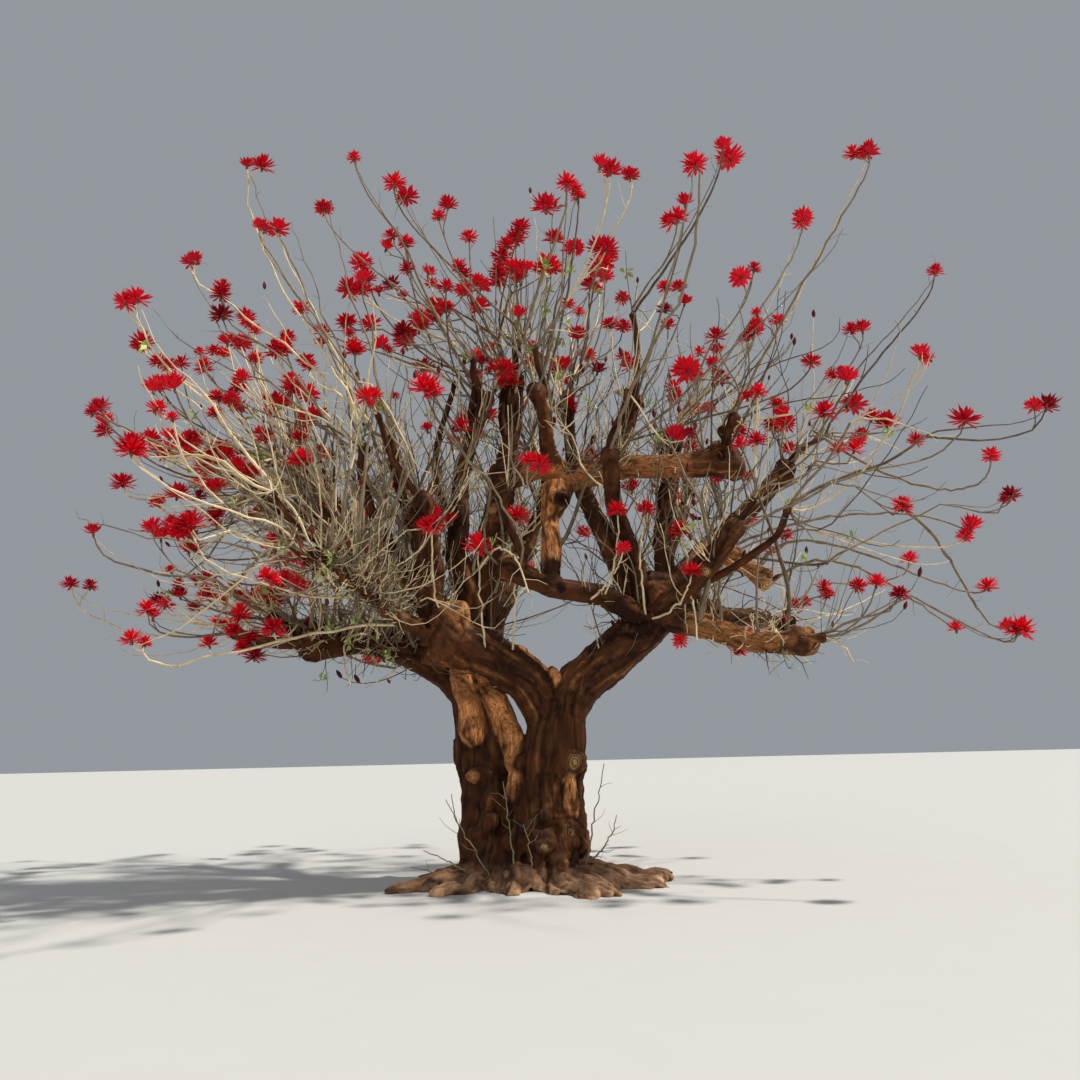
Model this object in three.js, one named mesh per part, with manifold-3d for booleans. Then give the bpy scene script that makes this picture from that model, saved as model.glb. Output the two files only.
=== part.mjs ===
// A coral tree in flower: a stout trunk of two fused leaders on a flared foot, crooked boughs that rise from
// it, and a broad crown in which each bough ends inside one mass of flowering shoots.
// Millimetres, +Z up. The origin is on the ground under the middle of the trunk, and -Y is the tree's front.
import * as THREE from 'three';
import { mergeVertices } from 'three/addons/utils/BufferGeometryUtils.js';
import Module from 'manifold-3d';

const wasm = await Module();
wasm.setup();

// The crown's outline: a dome with a shallow underside.
const CROWN_CENTRE = new THREE.Vector3(330, 0, 3500);
const CROWN_HALF_WIDTH = 4700;
const CROWN_HALF_DEPTH = 4250;
const CROWN_RISE = 3850;
const CROWN_DROP = 1500;
const CROWN_SQUARENESS = 2.3;

// How uneven a mass's face is, and where on average it lies inside the crown's outline.
const FACE_LUMPS = { broad: 0.09, fine: 0.054, inset: 0.036 };

// Each mass of shoots.
const MASS_DETAIL = 3;
const MASS_FRONT_CROWDING = 0.45;
const MASS_BACK_RADIUS = 240;
const MASS_EDGE_DEGREES = 26;
const MASS_GAP = 40;
const GAP_ROUNDS = 400;
const OUTLINE_ROUNDS = 24;

// Lengths and cosines below these count as nothing.
const WELD = 1e-3;
const UNIT_WELD = 1e-4;
const SLIGHT = 1e-6;

// Wood.
const SEAT_GAP = 0.5;
const LIMB_SIDES = 7;
const LIMB_STEP = 500;
const LIMB_TAPER = 0.75;
const LIMB_UNEVENNESS = { along: 0.06, round: 0.04, waves: 9.3, twist: 5.7 };
const LIMB_CROOK = { size: 45, waves: 2.2 };
const KNOB_SWELL = 0.4;
const KNOB_LENGTH = 0.14;
const LEADER_SIDES = 12;
const LEADER_STEP = 290;
const LEADER_FLUTE = { depth: 0.055, count: 3, twist: 2.5 };
const ROOT_SIDES = 6;
const ROOT_RINGS = 4;
const ROOT_START = 240;
const ROOT_TOP = 190;
const ROOT_TIP_SHARE = 0.42;
const BURL_DETAIL = 1;

// A root's course past its start: the share of its reach, how far it may bend aside in degrees, and the
// height of its middle.
const ROOT_COURSE = [
  { share: 0.5, bend: 6, height: 60 },
  { share: 0.76, bend: 10, height: 10 },
  { share: 1, bend: 7, height: -10 },
];

const BARK = new THREE.MeshStandardMaterial({ color: 0x6b3a22, roughness: 0.85, metalness: 0 });
const BOUGH_BARK = new THREE.MeshStandardMaterial({ color: 0x7a452a, roughness: 0.85, metalness: 0 });
const BLOSSOM = new THREE.MeshStandardMaterial({ color: 0xa8343a, roughness: 0.7, metalness: 0 });

const degrees = THREE.MathUtils.degToRad;
const point = ([x, y, z]) => new THREE.Vector3(x, y, z);

// The trunk's two leaders and the web that joins them low down: centre line from the ground upwards, with
// the radius at each point.
const LEADERS = [
  {
    path: [
      [-230, 120, -60], [-250, 170, 300], [-270, 200, 800],
      [-320, 230, 1300], [-430, 250, 1750], [-520, 255, 2080],
    ],
    radii: [470, 385, 365, 370, 325, 240],
  },
  {
    path: [
      [220, -140, -60], [240, -130, 300], [265, -130, 800],
      [335, -150, 1350], [385, -150, 1700], [420, -150, 1960],
    ],
    radii: [490, 385, 355, 305, 310, 215],
  },
  {
    path: [[0, 10, -60], [0, 20, 300], [10, 40, 800], [30, 60, 1280]],
    radii: [500, 400, 330, 170],
  },
];

// Swellings on the trunk and mounds of root at its foot, each with its centre and radius.
const BURLS = [
  { at: [455, -210, 1160], radius: 215 },
  { at: [385, -215, 440], radius: 275 },
  { at: [140, -260, 430], radius: 270 },
  { at: [-360, 60, 1020], radius: 255 },
  { at: [390, -20, 330], radius: 285 },
  { at: [-370, 170, 450], radius: 325 },
  { at: [-170, 330, 620], radius: 265 },
  { at: [820, -400, -150], radius: 360 },
  { at: [1080, -130, -240], radius: 370 },
  { at: [620, -860, -220], radius: 370 },
  { at: [-620, -430, -220], radius: 390 },
];

// Roots that run along the ground out of the foot: compass heading, how far out they reach, and thickness.
const ROOTS = [
  { heading: 4, reach: 1430, radius: 180 },
  { heading: -15, reach: 1300, radius: 175 },
  { heading: -32, reach: 1420, radius: 190 },
  { heading: -55, reach: 1420, radius: 185 },
  { heading: -90, reach: 960, radius: 175 },
  { heading: -126, reach: 1200, radius: 185 },
  { heading: -152, reach: 1450, radius: 165 },
  { heading: 152, reach: 1000, radius: 220 },
  { heading: 104, reach: 1060, radius: 220 },
  { heading: 54, reach: 1020, radius: 220 },
];

// Boughs, carriers first: a centre line with a radius at its start and its end.
const LIMBS = [
  {
    name: 'front_left_bough',
    path: [
      [350, -150, 1600], [230, -190, 1880], [-60, -290, 2090],
      [-400, -410, 2300], [-860, -540, 2440],
    ],
    radii: [280, 200],
  },
  {
    name: 'right_bough',
    path: [
      [350, -150, 1600], [560, -165, 1900], [930, -200, 2220],
      [1300, -250, 2510], [1560, -230, 2840],
    ],
    radii: [300, 200],
  },
  {
    name: 'centre_leader',
    path: [
      [-450, 250, 1800], [-560, 280, 2450], [-400, 290, 2950], [-250, 300, 3780],
      [-130, 330, 4350], [-30, 360, 4850], [-20, 420, 5450],
    ],
    radii: [290, 80],
  },
  {
    name: 'left_low_bough',
    path: [
      [-440, 250, 1750], [-690, 220, 2080], [-1110, 100, 2330],
      [-1700, -60, 2470], [-2150, -180, 2400],
    ],
    radii: [235, 115],
  },
  {
    name: 'left_upright',
    path: [[-820, -510, 2360], [-900, -560, 3050], [-930, -620, 3700]],
    radii: [165, 115],
  },
  {
    name: 'left_inner_upright',
    path: [
      [-560, 120, 2450], [-560, -100, 3000], [-650, -130, 3850],
      [-560, -60, 4300], [-330, 60, 5100],
    ],
    radii: [160, 70],
  },
  {
    name: 'rising_limb',
    path: [
      [1520, -230, 2700], [1800, -110, 3120], [2080, 50, 3440],
      [2520, 250, 3800], [3020, 420, 4330],
    ],
    radii: [160, 75],
  },
  {
    name: 'right_upright',
    path: [[1480, -120, 2620], [1540, 60, 3130], [1620, 160, 3710], [1720, 330, 4650]],
    radii: [150, 80],
  },
  {
    name: 'crossing_limb',
    path: [[1300, -330, 2560], [800, -500, 2850], [320, -700, 2890], [-110, -920, 3060]],
    radii: [145, 85],
  },
  {
    name: 'inner_limb',
    path: [[1230, -150, 2600], [1040, -60, 3330], [860, 120, 3750], [640, 400, 4350], [600, 520, 5250]],
    radii: [140, 65],
  },
  {
    name: 'inner_front_limb',
    path: [[1290, -330, 2700], [1170, -420, 3350], [980, -620, 3800], [960, -980, 4150]],
    radii: [110, 70],
  },
  {
    name: 'log_limb',
    path: [
      [-250, 300, 4250], [350, 120, 4350], [860, 0, 4160],
      [1280, -90, 4260], [1880, -170, 4270], [2200, -210, 4260],
    ],
    radii: [170, 115],
  },
  {
    name: 'elbow_stem',
    path: [[330, -690, 2900], [360, -320, 3400], [450, -10, 4080]],
    radii: [95, 125],
  },
  {
    name: 'log_riser',
    path: [[1010, -20, 4200], [1150, 60, 4560], [1320, 160, 5080]],
    radii: [95, 70],
  },
  {
    name: 'elbow_riser',
    path: [[420, -20, 4250], [330, -420, 4600], [230, -800, 4900]],
    radii: [95, 65],
  },
  {
    name: 'low_right_bough',
    path: [[1380, -300, 2600], [1940, -500, 2470], [2280, -700, 2330], [2760, -920, 2260]],
    radii: [150, 90],
  },
  {
    name: 'low_right_back_bough',
    path: [[1480, -100, 2700], [1850, 120, 2800], [2420, 560, 2680], [3020, 900, 2600]],
    radii: [140, 85],
  },
  {
    name: 'sawn_limb',
    path: [[1840, -80, 3170], [2190, -110, 3250], [2560, -420, 2930]],
    radii: [105, 92],
  },
  {
    name: 'left_mid_limb',
    path: [[-620, 230, 2500], [-1200, 300, 3020], [-1720, 340, 3420], [-2080, 300, 3880]],
    radii: [150, 80],
  },
  {
    name: 'left_front_limb',
    path: [[-780, -520, 2420], [-1190, -820, 2560], [-1500, -1240, 2900], [-1820, -1560, 3120]],
    radii: [92, 52],
  },
  {
    name: 'front_riser',
    path: [[-870, -570, 3050], [-880, -860, 3450], [-880, -1150, 3700]],
    radii: [95, 70],
  },
  {
    name: 'right_front_limb',
    path: [[1420, -380, 2640], [1800, -900, 2950], [2080, -1380, 3320]],
    radii: [130, 75],
  },
  {
    name: 'back_left_bough',
    path: [[-450, 280, 1800], [-850, 950, 2450], [-1350, 1550, 2720], [-1750, 2000, 2800]],
    radii: [200, 85],
  },
  {
    name: 'back_bough',
    path: [[-470, 290, 1850], [-230, 1000, 2950], [-60, 1550, 3500], [20, 1950, 3700]],
    radii: [200, 85],
  },
  {
    name: 'back_left_riser',
    path: [[-800, 900, 2400], [-1000, 1150, 3200], [-1120, 1300, 3950]],
    radii: [120, 70],
  },
  {
    name: 'back_riser',
    path: [[-150, 1250, 3180], [180, 1280, 3900], [420, 1350, 4650]],
    radii: [110, 65],
  },
  {
    name: 'back_right_bough',
    path: [[950, -20, 2260], [1250, 700, 2620], [1650, 1450, 2850], [1950, 1950, 2950]],
    radii: [190, 85],
  },
  {
    name: 'back_right_riser',
    path: [[1350, 950, 2680], [1700, 1150, 3350], [1950, 1300, 4050]],
    radii: [110, 65],
  },
];

// Masses of shoots, each round the end of one bough: how wide it opens, how far its face reaches as a share
// of the way to the crown's outline, and where its longest shoots end. It aims at the first of those.
const MASSES = [
  {
    name: 'crown_top_centre',
    limb: 'centre_leader',
    spread: 40,
    reach: 0.99,
    tips: [[-600, -100, 7420], [250, 500, 7450]],
  },
  {
    name: 'crown_top_left',
    limb: 'left_inner_upright',
    spread: 40,
    reach: 0.98,
    tips: [[-1580, -1250, 7290], [-2050, -500, 7150]],
  },
  {
    name: 'crown_top_back',
    limb: 'inner_limb',
    spread: 38,
    reach: 1.0,
    tips: [[1250, 1500, 7500]],
  },
  {
    name: 'crown_top_right',
    limb: 'log_riser',
    spread: 40,
    reach: 1.0,
    tips: [[2200, -1000, 7520], [1700, 100, 7620]],
  },
  {
    name: 'crown_right_high',
    limb: 'log_limb',
    spread: 38,
    reach: 0.97,
    tips: [[3740, -1100, 7300], [3200, -1600, 6700]],
  },
  {
    name: 'crown_right_back_high',
    limb: 'right_upright',
    spread: 38,
    reach: 0.98,
    tips: [[3500, 700, 7450], [2700, 1500, 7450]],
  },
  {
    name: 'crown_right',
    limb: 'rising_limb',
    spread: 46,
    reach: 0.98,
    tips: [[4880, 300, 6600], [5200, 500, 5500], [4950, 100, 4600]],
  },
  {
    name: 'crown_right_mid',
    limb: 'sawn_limb',
    spread: 40,
    reach: 0.96,
    tips: [[4800, -200, 3000], [4700, 700, 3500]],
  },
  {
    name: 'crown_right_front_low',
    limb: 'low_right_bough',
    spread: 32,
    reach: 0.8,
    tips: [[4450, -1850, 2240], [4000, -1450, 2340]],
  },
  {
    name: 'crown_right_back_low',
    limb: 'low_right_back_bough',
    spread: 44,
    reach: 0.95,
    tips: [[4100, 1900, 2800]],
  },
  {
    name: 'crown_left_high',
    limb: 'left_upright',
    spread: 38,
    reach: 0.96,
    tips: [[-2580, -1550, 7050], [-3300, -1000, 6300]],
  },
  {
    name: 'crown_left',
    limb: 'left_mid_limb',
    spread: 46,
    reach: 0.98,
    tips: [[-4640, 300, 5000], [-4300, 400, 6000], [-3250, 900, 6500]],
  },
  {
    name: 'crown_left_low',
    limb: 'left_low_bough',
    spread: 44,
    reach: 0.96,
    tips: [[-4560, -500, 3050], [-4100, -300, 2420]],
  },
  {
    name: 'crown_left_front',
    limb: 'left_front_limb',
    spread: 46,
    reach: 0.96,
    tips: [[-3800, -1900, 3500], [-3300, -2050, 2300]],
  },
  {
    name: 'crown_front_left',
    limb: 'front_riser',
    spread: 42,
    reach: 0.92,
    tips: [[-2200, -3000, 5500]],
  },
  {
    name: 'crown_front',
    limb: 'crossing_limb',
    spread: 40,
    reach: 0.78,
    tips: [[-600, -3100, 4300]],
  },
  {
    name: 'crown_front_high',
    limb: 'elbow_riser',
    spread: 40,
    reach: 0.95,
    tips: [[700, -1900, 7000], [-500, -2200, 6700]],
  },
  {
    name: 'crown_front_right',
    limb: 'inner_front_limb',
    spread: 40,
    reach: 0.9,
    tips: [[2000, -3000, 5700]],
  },
  {
    name: 'crown_right_front',
    limb: 'right_front_limb',
    spread: 44,
    reach: 0.94,
    tips: [[4950, -1750, 4300], [3900, -2900, 3900]],
  },
  {
    name: 'crown_back_left_low',
    limb: 'back_left_bough',
    spread: 48,
    reach: 0.95,
    tips: [[-3300, 2900, 2800]],
  },
  {
    name: 'crown_back',
    limb: 'back_bough',
    spread: 48,
    reach: 0.97,
    tips: [[0, 4250, 4600], [300, 4000, 3100]],
  },
  {
    name: 'crown_back_left',
    limb: 'back_left_riser',
    spread: 46,
    reach: 0.97,
    tips: [[-3000, 3000, 5600], [-3900, 1900, 4700]],
  },
  {
    name: 'crown_back_high',
    limb: 'back_riser',
    spread: 42,
    reach: 0.97,
    tips: [[200, 2900, 6600], [-1100, 2000, 7100]],
  },
  {
    name: 'crown_back_right_low',
    limb: 'back_right_bough',
    spread: 48,
    reach: 0.95,
    tips: [[3400, 3100, 2900]],
  },
  {
    name: 'crown_back_right',
    limb: 'back_right_riser',
    spread: 44,
    reach: 0.97,
    tips: [[3500, 2800, 5500], [2700, 2700, 6300]],
  },
];

// A closed three.js geometry as a manifold solid.
function solidOf(geometry) {
  geometry.deleteAttribute('normal');
  geometry.deleteAttribute('uv');
  const merged = mergeVertices(geometry, WELD);
  return new wasm.Manifold(new wasm.Mesh({
    numProp: 3,
    vertProperties: merged.attributes.position.array,
    triVerts: new Uint32Array(merged.index.array),
  }));
}

function geometryOf(solid) {
  const mesh = solid.getMesh();
  const positions = new Float32Array(mesh.numVert * 3);
  for (let i = 0; i < mesh.numVert; i++) {
    positions.set(mesh.vertProperties.subarray(i * mesh.numProp, i * mesh.numProp + 3), i * 3);
  }
  const geometry = new THREE.BufferGeometry();
  geometry.setAttribute('position', new THREE.BufferAttribute(positions, 3));
  geometry.setIndex(new THREE.BufferAttribute(new Uint32Array(mesh.triVerts), 1));
  geometry.computeVertexNormals();
  return geometry;
}

const curveOf = (path) => new THREE.CatmullRomCurve3(path.map(point), false, 'centripetal');
const ringsFor = (path, step) => Math.max(3, Math.round(curveOf(path).getLength() / step));

// A round limb along a smooth curve. radiusAt(share, angle) gives its radius, crookAt(share) how far its
// centre strays sideways, and grow makes it that much thicker and longer all round.
function limbSolid({ path, sides, rings, radiusAt, crookAt = () => 0, grow }) {
  const curve = curveOf(path);
  const frames = curve.computeFrenetFrames(rings, false);
  const positions = [];
  for (let i = 0; i <= rings; i++) {
    const share = i / rings;
    const centre = curve.getPointAt(share);
    const pushed = i === 0 ? -grow : i === rings ? grow : 0;
    centre.addScaledVector(frames.tangents[i], pushed);
    centre.addScaledVector(frames.normals[i], crookAt(share));
    for (let j = 0; j < sides; j++) {
      const angle = (j / sides) * 2 * Math.PI;
      const radius = radiusAt(share, angle) + grow;
      const corner = centre.clone()
        .addScaledVector(frames.normals[i], radius * Math.cos(angle))
        .addScaledVector(frames.binormals[i], radius * Math.sin(angle));
      positions.push(corner.x, corner.y, corner.z);
    }
  }
  const corners = [];
  for (let i = 0; i < rings; i++) {
    for (let j = 0; j < sides; j++) {
      const a = i * sides + j;
      const b = i * sides + (j + 1) % sides;
      corners.push(a, b, b + sides, a, b + sides, a + sides);
    }
  }
  const last = rings * sides;
  for (let j = 1; j < sides - 1; j++) {
    corners.push(0, j + 1, j, last, last + j, last + j + 1);
  }
  const geometry = new THREE.BufferGeometry();
  geometry.setAttribute('position', new THREE.Float32BufferAttribute(positions, 3));
  geometry.setIndex(corners);
  return solidOf(geometry);
}

// A slow swelling and thinning along and round a limb, different for each seed.
function unevenness(seed, share, angle) {
  const { along, round, waves, twist } = LIMB_UNEVENNESS;
  const swelling = along * Math.sin(waves * share + 2 * seed);
  return 1 + swelling + round * Math.sin(2 * angle + twist * share + seed);
}

// A bough tapers from its carrier and ends in a swollen knob, where its shoots spring. It strays a little to
// either side of its line, but not at its ends.
function boughSolid(limb, seed, grow) {
  const [start, end] = limb.radii;
  const radiusAt = (share, angle) => {
    const knob = 1 + KNOB_SWELL * THREE.MathUtils.smoothstep(share, 1 - KNOB_LENGTH, 1);
    const radius = THREE.MathUtils.lerp(start, end, Math.pow(share, LIMB_TAPER));
    return radius * knob * unevenness(seed, share, angle);
  };
  const crookAt = (share) => {
    const sway = Math.sin(2 * Math.PI * LIMB_CROOK.waves * share + 2 * seed);
    return LIMB_CROOK.size * Math.sin(Math.PI * share) * sway;
  };
  const rings = ringsFor(limb.path, LIMB_STEP);
  return limbSolid({ path: limb.path, sides: LIMB_SIDES, rings, radiusAt, crookAt, grow });
}

// A leader's radius runs smoothly through its listed values, with shallow flutes down its sides.
function leaderSolid(leader, seed, grow) {
  const last = leader.radii.length - 1;
  const radiusAt = (share, angle) => {
    const place = share * last;
    const i = Math.min(last - 1, Math.floor(place));
    const radius = THREE.MathUtils.lerp(leader.radii[i], leader.radii[i + 1], place - i);
    const { depth, count, twist } = LEADER_FLUTE;
    return radius * (1 + depth * Math.sin(count * angle + twist * share + seed));
  };
  const rings = ringsFor(leader.path, LEADER_STEP);
  return limbSolid({ path: leader.path, sides: LEADER_SIDES, rings, radiusAt, grow });
}

function burlSolid({ at, radius }, grow) {
  const geometry = new THREE.IcosahedronGeometry(radius + grow, BURL_DETAIL);
  geometry.translate(...at);
  return solidOf(geometry);
}

// A surface root: it leaves the foot a little up its side, dips, and runs out along the ground.
function rootSolid({ heading, reach, radius }, seed, grow) {
  const start = { share: ROOT_START / reach, bend: 0, height: ROOT_TOP };
  const path = [start, ...ROOT_COURSE].map(({ share, bend, height }) => {
    const bearing = degrees(heading + bend * Math.sin(seed));
    return [share * reach * Math.cos(bearing), share * reach * Math.sin(bearing), height];
  });
  const radiusAt = (share) => THREE.MathUtils.lerp(radius, radius * ROOT_TIP_SHARE, share);
  return limbSolid({ path, sides: ROOT_SIDES, rings: ROOT_RINGS, radiusAt, grow });
}

// The trunk from its flat cut at the ground to its two forks.
function trunkSolid(grow) {
  const pieces = [
    ...LEADERS.map((leader, i) => leaderSolid(leader, i, grow)),
    ...BURLS.map((burl) => burlSolid(burl, grow)),
    ...ROOTS.map((root, i) => rootSolid(root, i, grow)),
  ];
  return pieces.reduce((whole, piece) => whole.add(piece)).trimByPlane([0, 0, 1], 0);
}

const boxesMeet = (a, b) => [0, 1, 2].every((k) => a.min[k] < b.max[k] && b.min[k] < a.max[k]);

// What is left of a solid where it is clear of the others, as its largest piece.
function clearOf(solid, others) {
  const box = solid.boundingBox();
  const left = others
    .filter((other) => boxesMeet(box, other.boundingBox()))
    .reduce((rest, other) => rest.subtract(other), solid);
  const pieces = left.decompose();
  return pieces.reduce((big, piece) => (piece.volume() > big.volume() ? piece : big));
}

// How far it is from a point inside the crown to the crown's outline, along a unit vector.
function outlineDistance(from, along) {
  const isInside = (length) => {
    const p = from.clone().addScaledVector(along, length).sub(CROWN_CENTRE);
    const rise = p.z > 0 ? CROWN_RISE : CROWN_DROP;
    const shares = [p.x / CROWN_HALF_WIDTH, p.y / CROWN_HALF_DEPTH, p.z / rise];
    return shares.reduce((sum, share) => sum + Math.pow(Math.abs(share), CROWN_SQUARENESS), 0) < 1;
  };
  let near = 0;
  let far = 2 * CROWN_HALF_WIDTH;
  for (let i = 0; i < OUTLINE_ROUNDS; i++) {
    const middle = (near + far) / 2;
    if (isInside(middle)) {
      near = middle;
    } else {
      far = middle;
    }
  }
  return near;
}

// The vector between the hulls of two sets of points where they come nearest, and its middle. Each round
// steps towards the pair of corners that lie furthest forward.
function nearestGap(a, b) {
  const furthest = (points, along) => points.reduce((best, each) => (
    each.dot(along) > best.dot(along) ? each : best
  ));
  const onA = a[0].clone();
  const onB = b[0].clone();
  for (let i = 0; i < GAP_ROUNDS; i++) {
    const gap = onB.clone().sub(onA);
    const stepA = furthest(a, gap).clone().sub(onA);
    const stepB = furthest(b, gap.clone().negate()).clone().sub(onB);
    const change = stepB.clone().sub(stepA);
    const size = change.lengthSq();
    const share = size > 0 ? THREE.MathUtils.clamp(-gap.dot(change) / size, 0, 1) : 0;
    onA.addScaledVector(stepA, share);
    onB.addScaledVector(stepB, share);
  }
  return { gap: onB.clone().sub(onA), middle: onA.add(onB).multiplyScalar(0.5) };
}

function layOut(mass) {
  const limb = LIMBS.find((each) => each.name === mass.limb);
  const start = point(limb.path.at(-1));
  const tips = mass.tips.map(point);
  const aim = tips[0].clone().sub(start).normalize();
  return { ...mass, start, tips, aim };
}

// The planes that part one mass from each of the others, as a unit normal that points away from it and a
// distance from its start.
function partingPlanes(mass, all) {
  return all.filter((other) => other !== mass).map((other) => {
    const { gap, middle } = nearestGap([mass.start, ...mass.tips], [other.start, ...other.tips]);
    const normal = gap.normalize();
    return { normal, distance: middle.sub(mass.start).dot(normal) - MASS_GAP / 2 };
  });
}

// How far a mass's face stands out or falls back, so far off its aim and so far round it.
function lumpiness(seed, off, round) {
  const { broad, fine, inset } = FACE_LUMPS;
  const slow = Math.sin(3 * round + 2.3 * seed) * Math.sin(7 * off + seed);
  return 1 + broad * slow + fine * Math.sin(5 * round + seed) - inset;
}

// A mass of shoots: it wraps the end of its bough and opens towards the crown's outline, with a lumpy face
// that runs out to a point at each of its listed tips.
function massSolid(mass, all, seed) {
  const planes = partingPlanes(mass, all);
  const limitAlong = (along) => planes.reduce((least, { normal, distance }) => {
    const facing = along.dot(normal);
    return facing > SLIGHT ? Math.min(least, distance / facing) : least;
  }, Infinity);
  const geometry = new THREE.OctahedronGeometry(1, MASS_DETAIL);
  geometry.deleteAttribute('normal');
  geometry.deleteAttribute('uv');
  const ball = mergeVertices(geometry, UNIT_WELD);
  const vertices = ball.attributes.position;
  const turnToAim = new THREE.Quaternion().setFromUnitVectors(new THREE.Vector3(0, 0, 1), mass.aim);
  const spread = degrees(mass.spread);
  const edge = degrees(MASS_EDGE_DEGREES);
  const places = [];
  const headings = [];
  for (let i = 0; i < vertices.count; i++) {
    const unit = new THREE.Vector3().fromBufferAttribute(vertices, i).normalize();
    const even = Math.acos(THREE.MathUtils.clamp(unit.z, -1, 1));
    const round = Math.atan2(unit.y, unit.x);
    // Vertices are drawn towards the front, where the face is wide.
    const off = even * (1 - MASS_FRONT_CROWDING * (1 - Math.pow(even / Math.PI, 2)));
    const along = new THREE.Vector3(
      Math.sin(off) * Math.cos(round), Math.sin(off) * Math.sin(round), Math.cos(off),
    ).applyQuaternion(turnToAim);
    const full = outlineDistance(mass.start, along) * mass.reach * lumpiness(seed, off, round);
    const closing = THREE.MathUtils.smoothstep(off, spread, spread + edge);
    const open = THREE.MathUtils.lerp(Math.max(full, MASS_BACK_RADIUS), MASS_BACK_RADIUS, closing);
    headings.push(along);
    places.push(mass.start.clone().addScaledVector(along, Math.min(open, limitAlong(along))));
  }
  for (const tip of mass.tips) {
    const along = tip.clone().sub(mass.start);
    const length = along.length();
    along.normalize();
    const limit = limitAlong(along);
    if (limit < length) {
      throw new Error(`a tip of ${mass.name} lies in another mass`);
    }
    const nearest = headings.reduce((best, heading, i) => (
      heading.dot(along) > headings[best].dot(along) ? i : best
    ), 0);
    places[nearest] = tip;
    headings[nearest] = new THREE.Vector3(0, 0, 0);
  }
  places.forEach((place, i) => vertices.setXYZ(i, place.x, place.y, place.z));
  return solidOf(ball);
}

const tree = new THREE.Group();

function addNode(name, solid, material) {
  const mesh = new THREE.Mesh(geometryOf(solid), material);
  mesh.name = name;
  tree.add(mesh);
}

addNode('trunk', trunkSolid(0), BARK);
const wood = [trunkSolid(SEAT_GAP)];
LIMBS.forEach((limb, i) => {
  addNode(limb.name, clearOf(boughSolid(limb, i, 0), wood), BOUGH_BARK);
  wood.push(boughSolid(limb, i, SEAT_GAP));
});

const masses = MASSES.map(layOut);
masses.forEach((mass, i) => {
  addNode(mass.name, clearOf(massSolid(mass, masses, i), wood), BLOSSOM);
});

export default tree;
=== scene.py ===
"""A coral tree in flower: furrowed red-brown wood, pale bare shoots and red star-shaped flower heads."""

import math
from itertools import product

import bmesh
import bpy
import numpy as np
from bpy.props import FloatProperty, FloatVectorProperty, IntProperty, PointerProperty
from mathutils import Matrix, Vector


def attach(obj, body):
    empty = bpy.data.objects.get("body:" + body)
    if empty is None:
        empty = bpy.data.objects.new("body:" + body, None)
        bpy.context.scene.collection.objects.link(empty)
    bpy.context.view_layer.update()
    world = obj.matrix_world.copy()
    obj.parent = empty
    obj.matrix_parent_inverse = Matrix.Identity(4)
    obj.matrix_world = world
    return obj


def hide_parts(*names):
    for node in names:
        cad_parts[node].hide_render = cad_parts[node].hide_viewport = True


bl_info = {
    "name": "Coral Tree in Flower",
    "version": (1, 0, 0),
    "blender": (4, 5, 0),
    "location": "View3D > Sidebar > Coral Tree",
    "description": "Grows bark, shoots, blossom and leaves on the frame of a coral tree",
    "category": "Add Mesh",
}

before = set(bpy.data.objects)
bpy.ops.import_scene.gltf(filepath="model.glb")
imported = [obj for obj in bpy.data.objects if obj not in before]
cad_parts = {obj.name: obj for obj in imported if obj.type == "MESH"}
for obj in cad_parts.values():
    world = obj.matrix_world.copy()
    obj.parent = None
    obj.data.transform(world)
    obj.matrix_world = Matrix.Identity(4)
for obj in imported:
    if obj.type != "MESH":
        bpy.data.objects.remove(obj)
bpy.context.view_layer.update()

BODY = "root"
UP = np.array([0.0, 0.0, 1.0])
FORWARD = np.array([0.0, -1.0, 0.0])

# The tones of a shoot's bark, as places in the list of its materials.
PALE, GREY, BROWN = 0, 1, 2

# Which wood is worked as one surface with the trunk. The other boughs are a second surface.
FORK_BOUGHS = ["front_left_bough", "right_bough", "centre_leader", "left_low_bough"]

# Limbs that end in a plain saw cut, with no knuckle.
SAWN_OFF = ["sawn_limb", "elbow_stem"]

# The middle lines of the trunk's two fused leaders.
LEADER_LINES = [
    [(-0.25, 0.17, 0.0), (-0.27, 0.20, 0.8), (-0.32, 0.23, 1.35), (-0.50, 0.25, 2.1)],
    [(0.24, -0.13, 0.0), (0.265, -0.13, 0.8), (0.335, -0.15, 1.35), (0.42, -0.15, 2.0)],
]

# How the grain turns outwards over the foot: distances from the middle with heights, in so many directions.
ROOT_COURSE = [(0.45, 0.75), (0.50, 0.42), (0.66, 0.16), (0.95, 0.07), (1.40, 0.03)]
ROOT_SPOKES = 18

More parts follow.
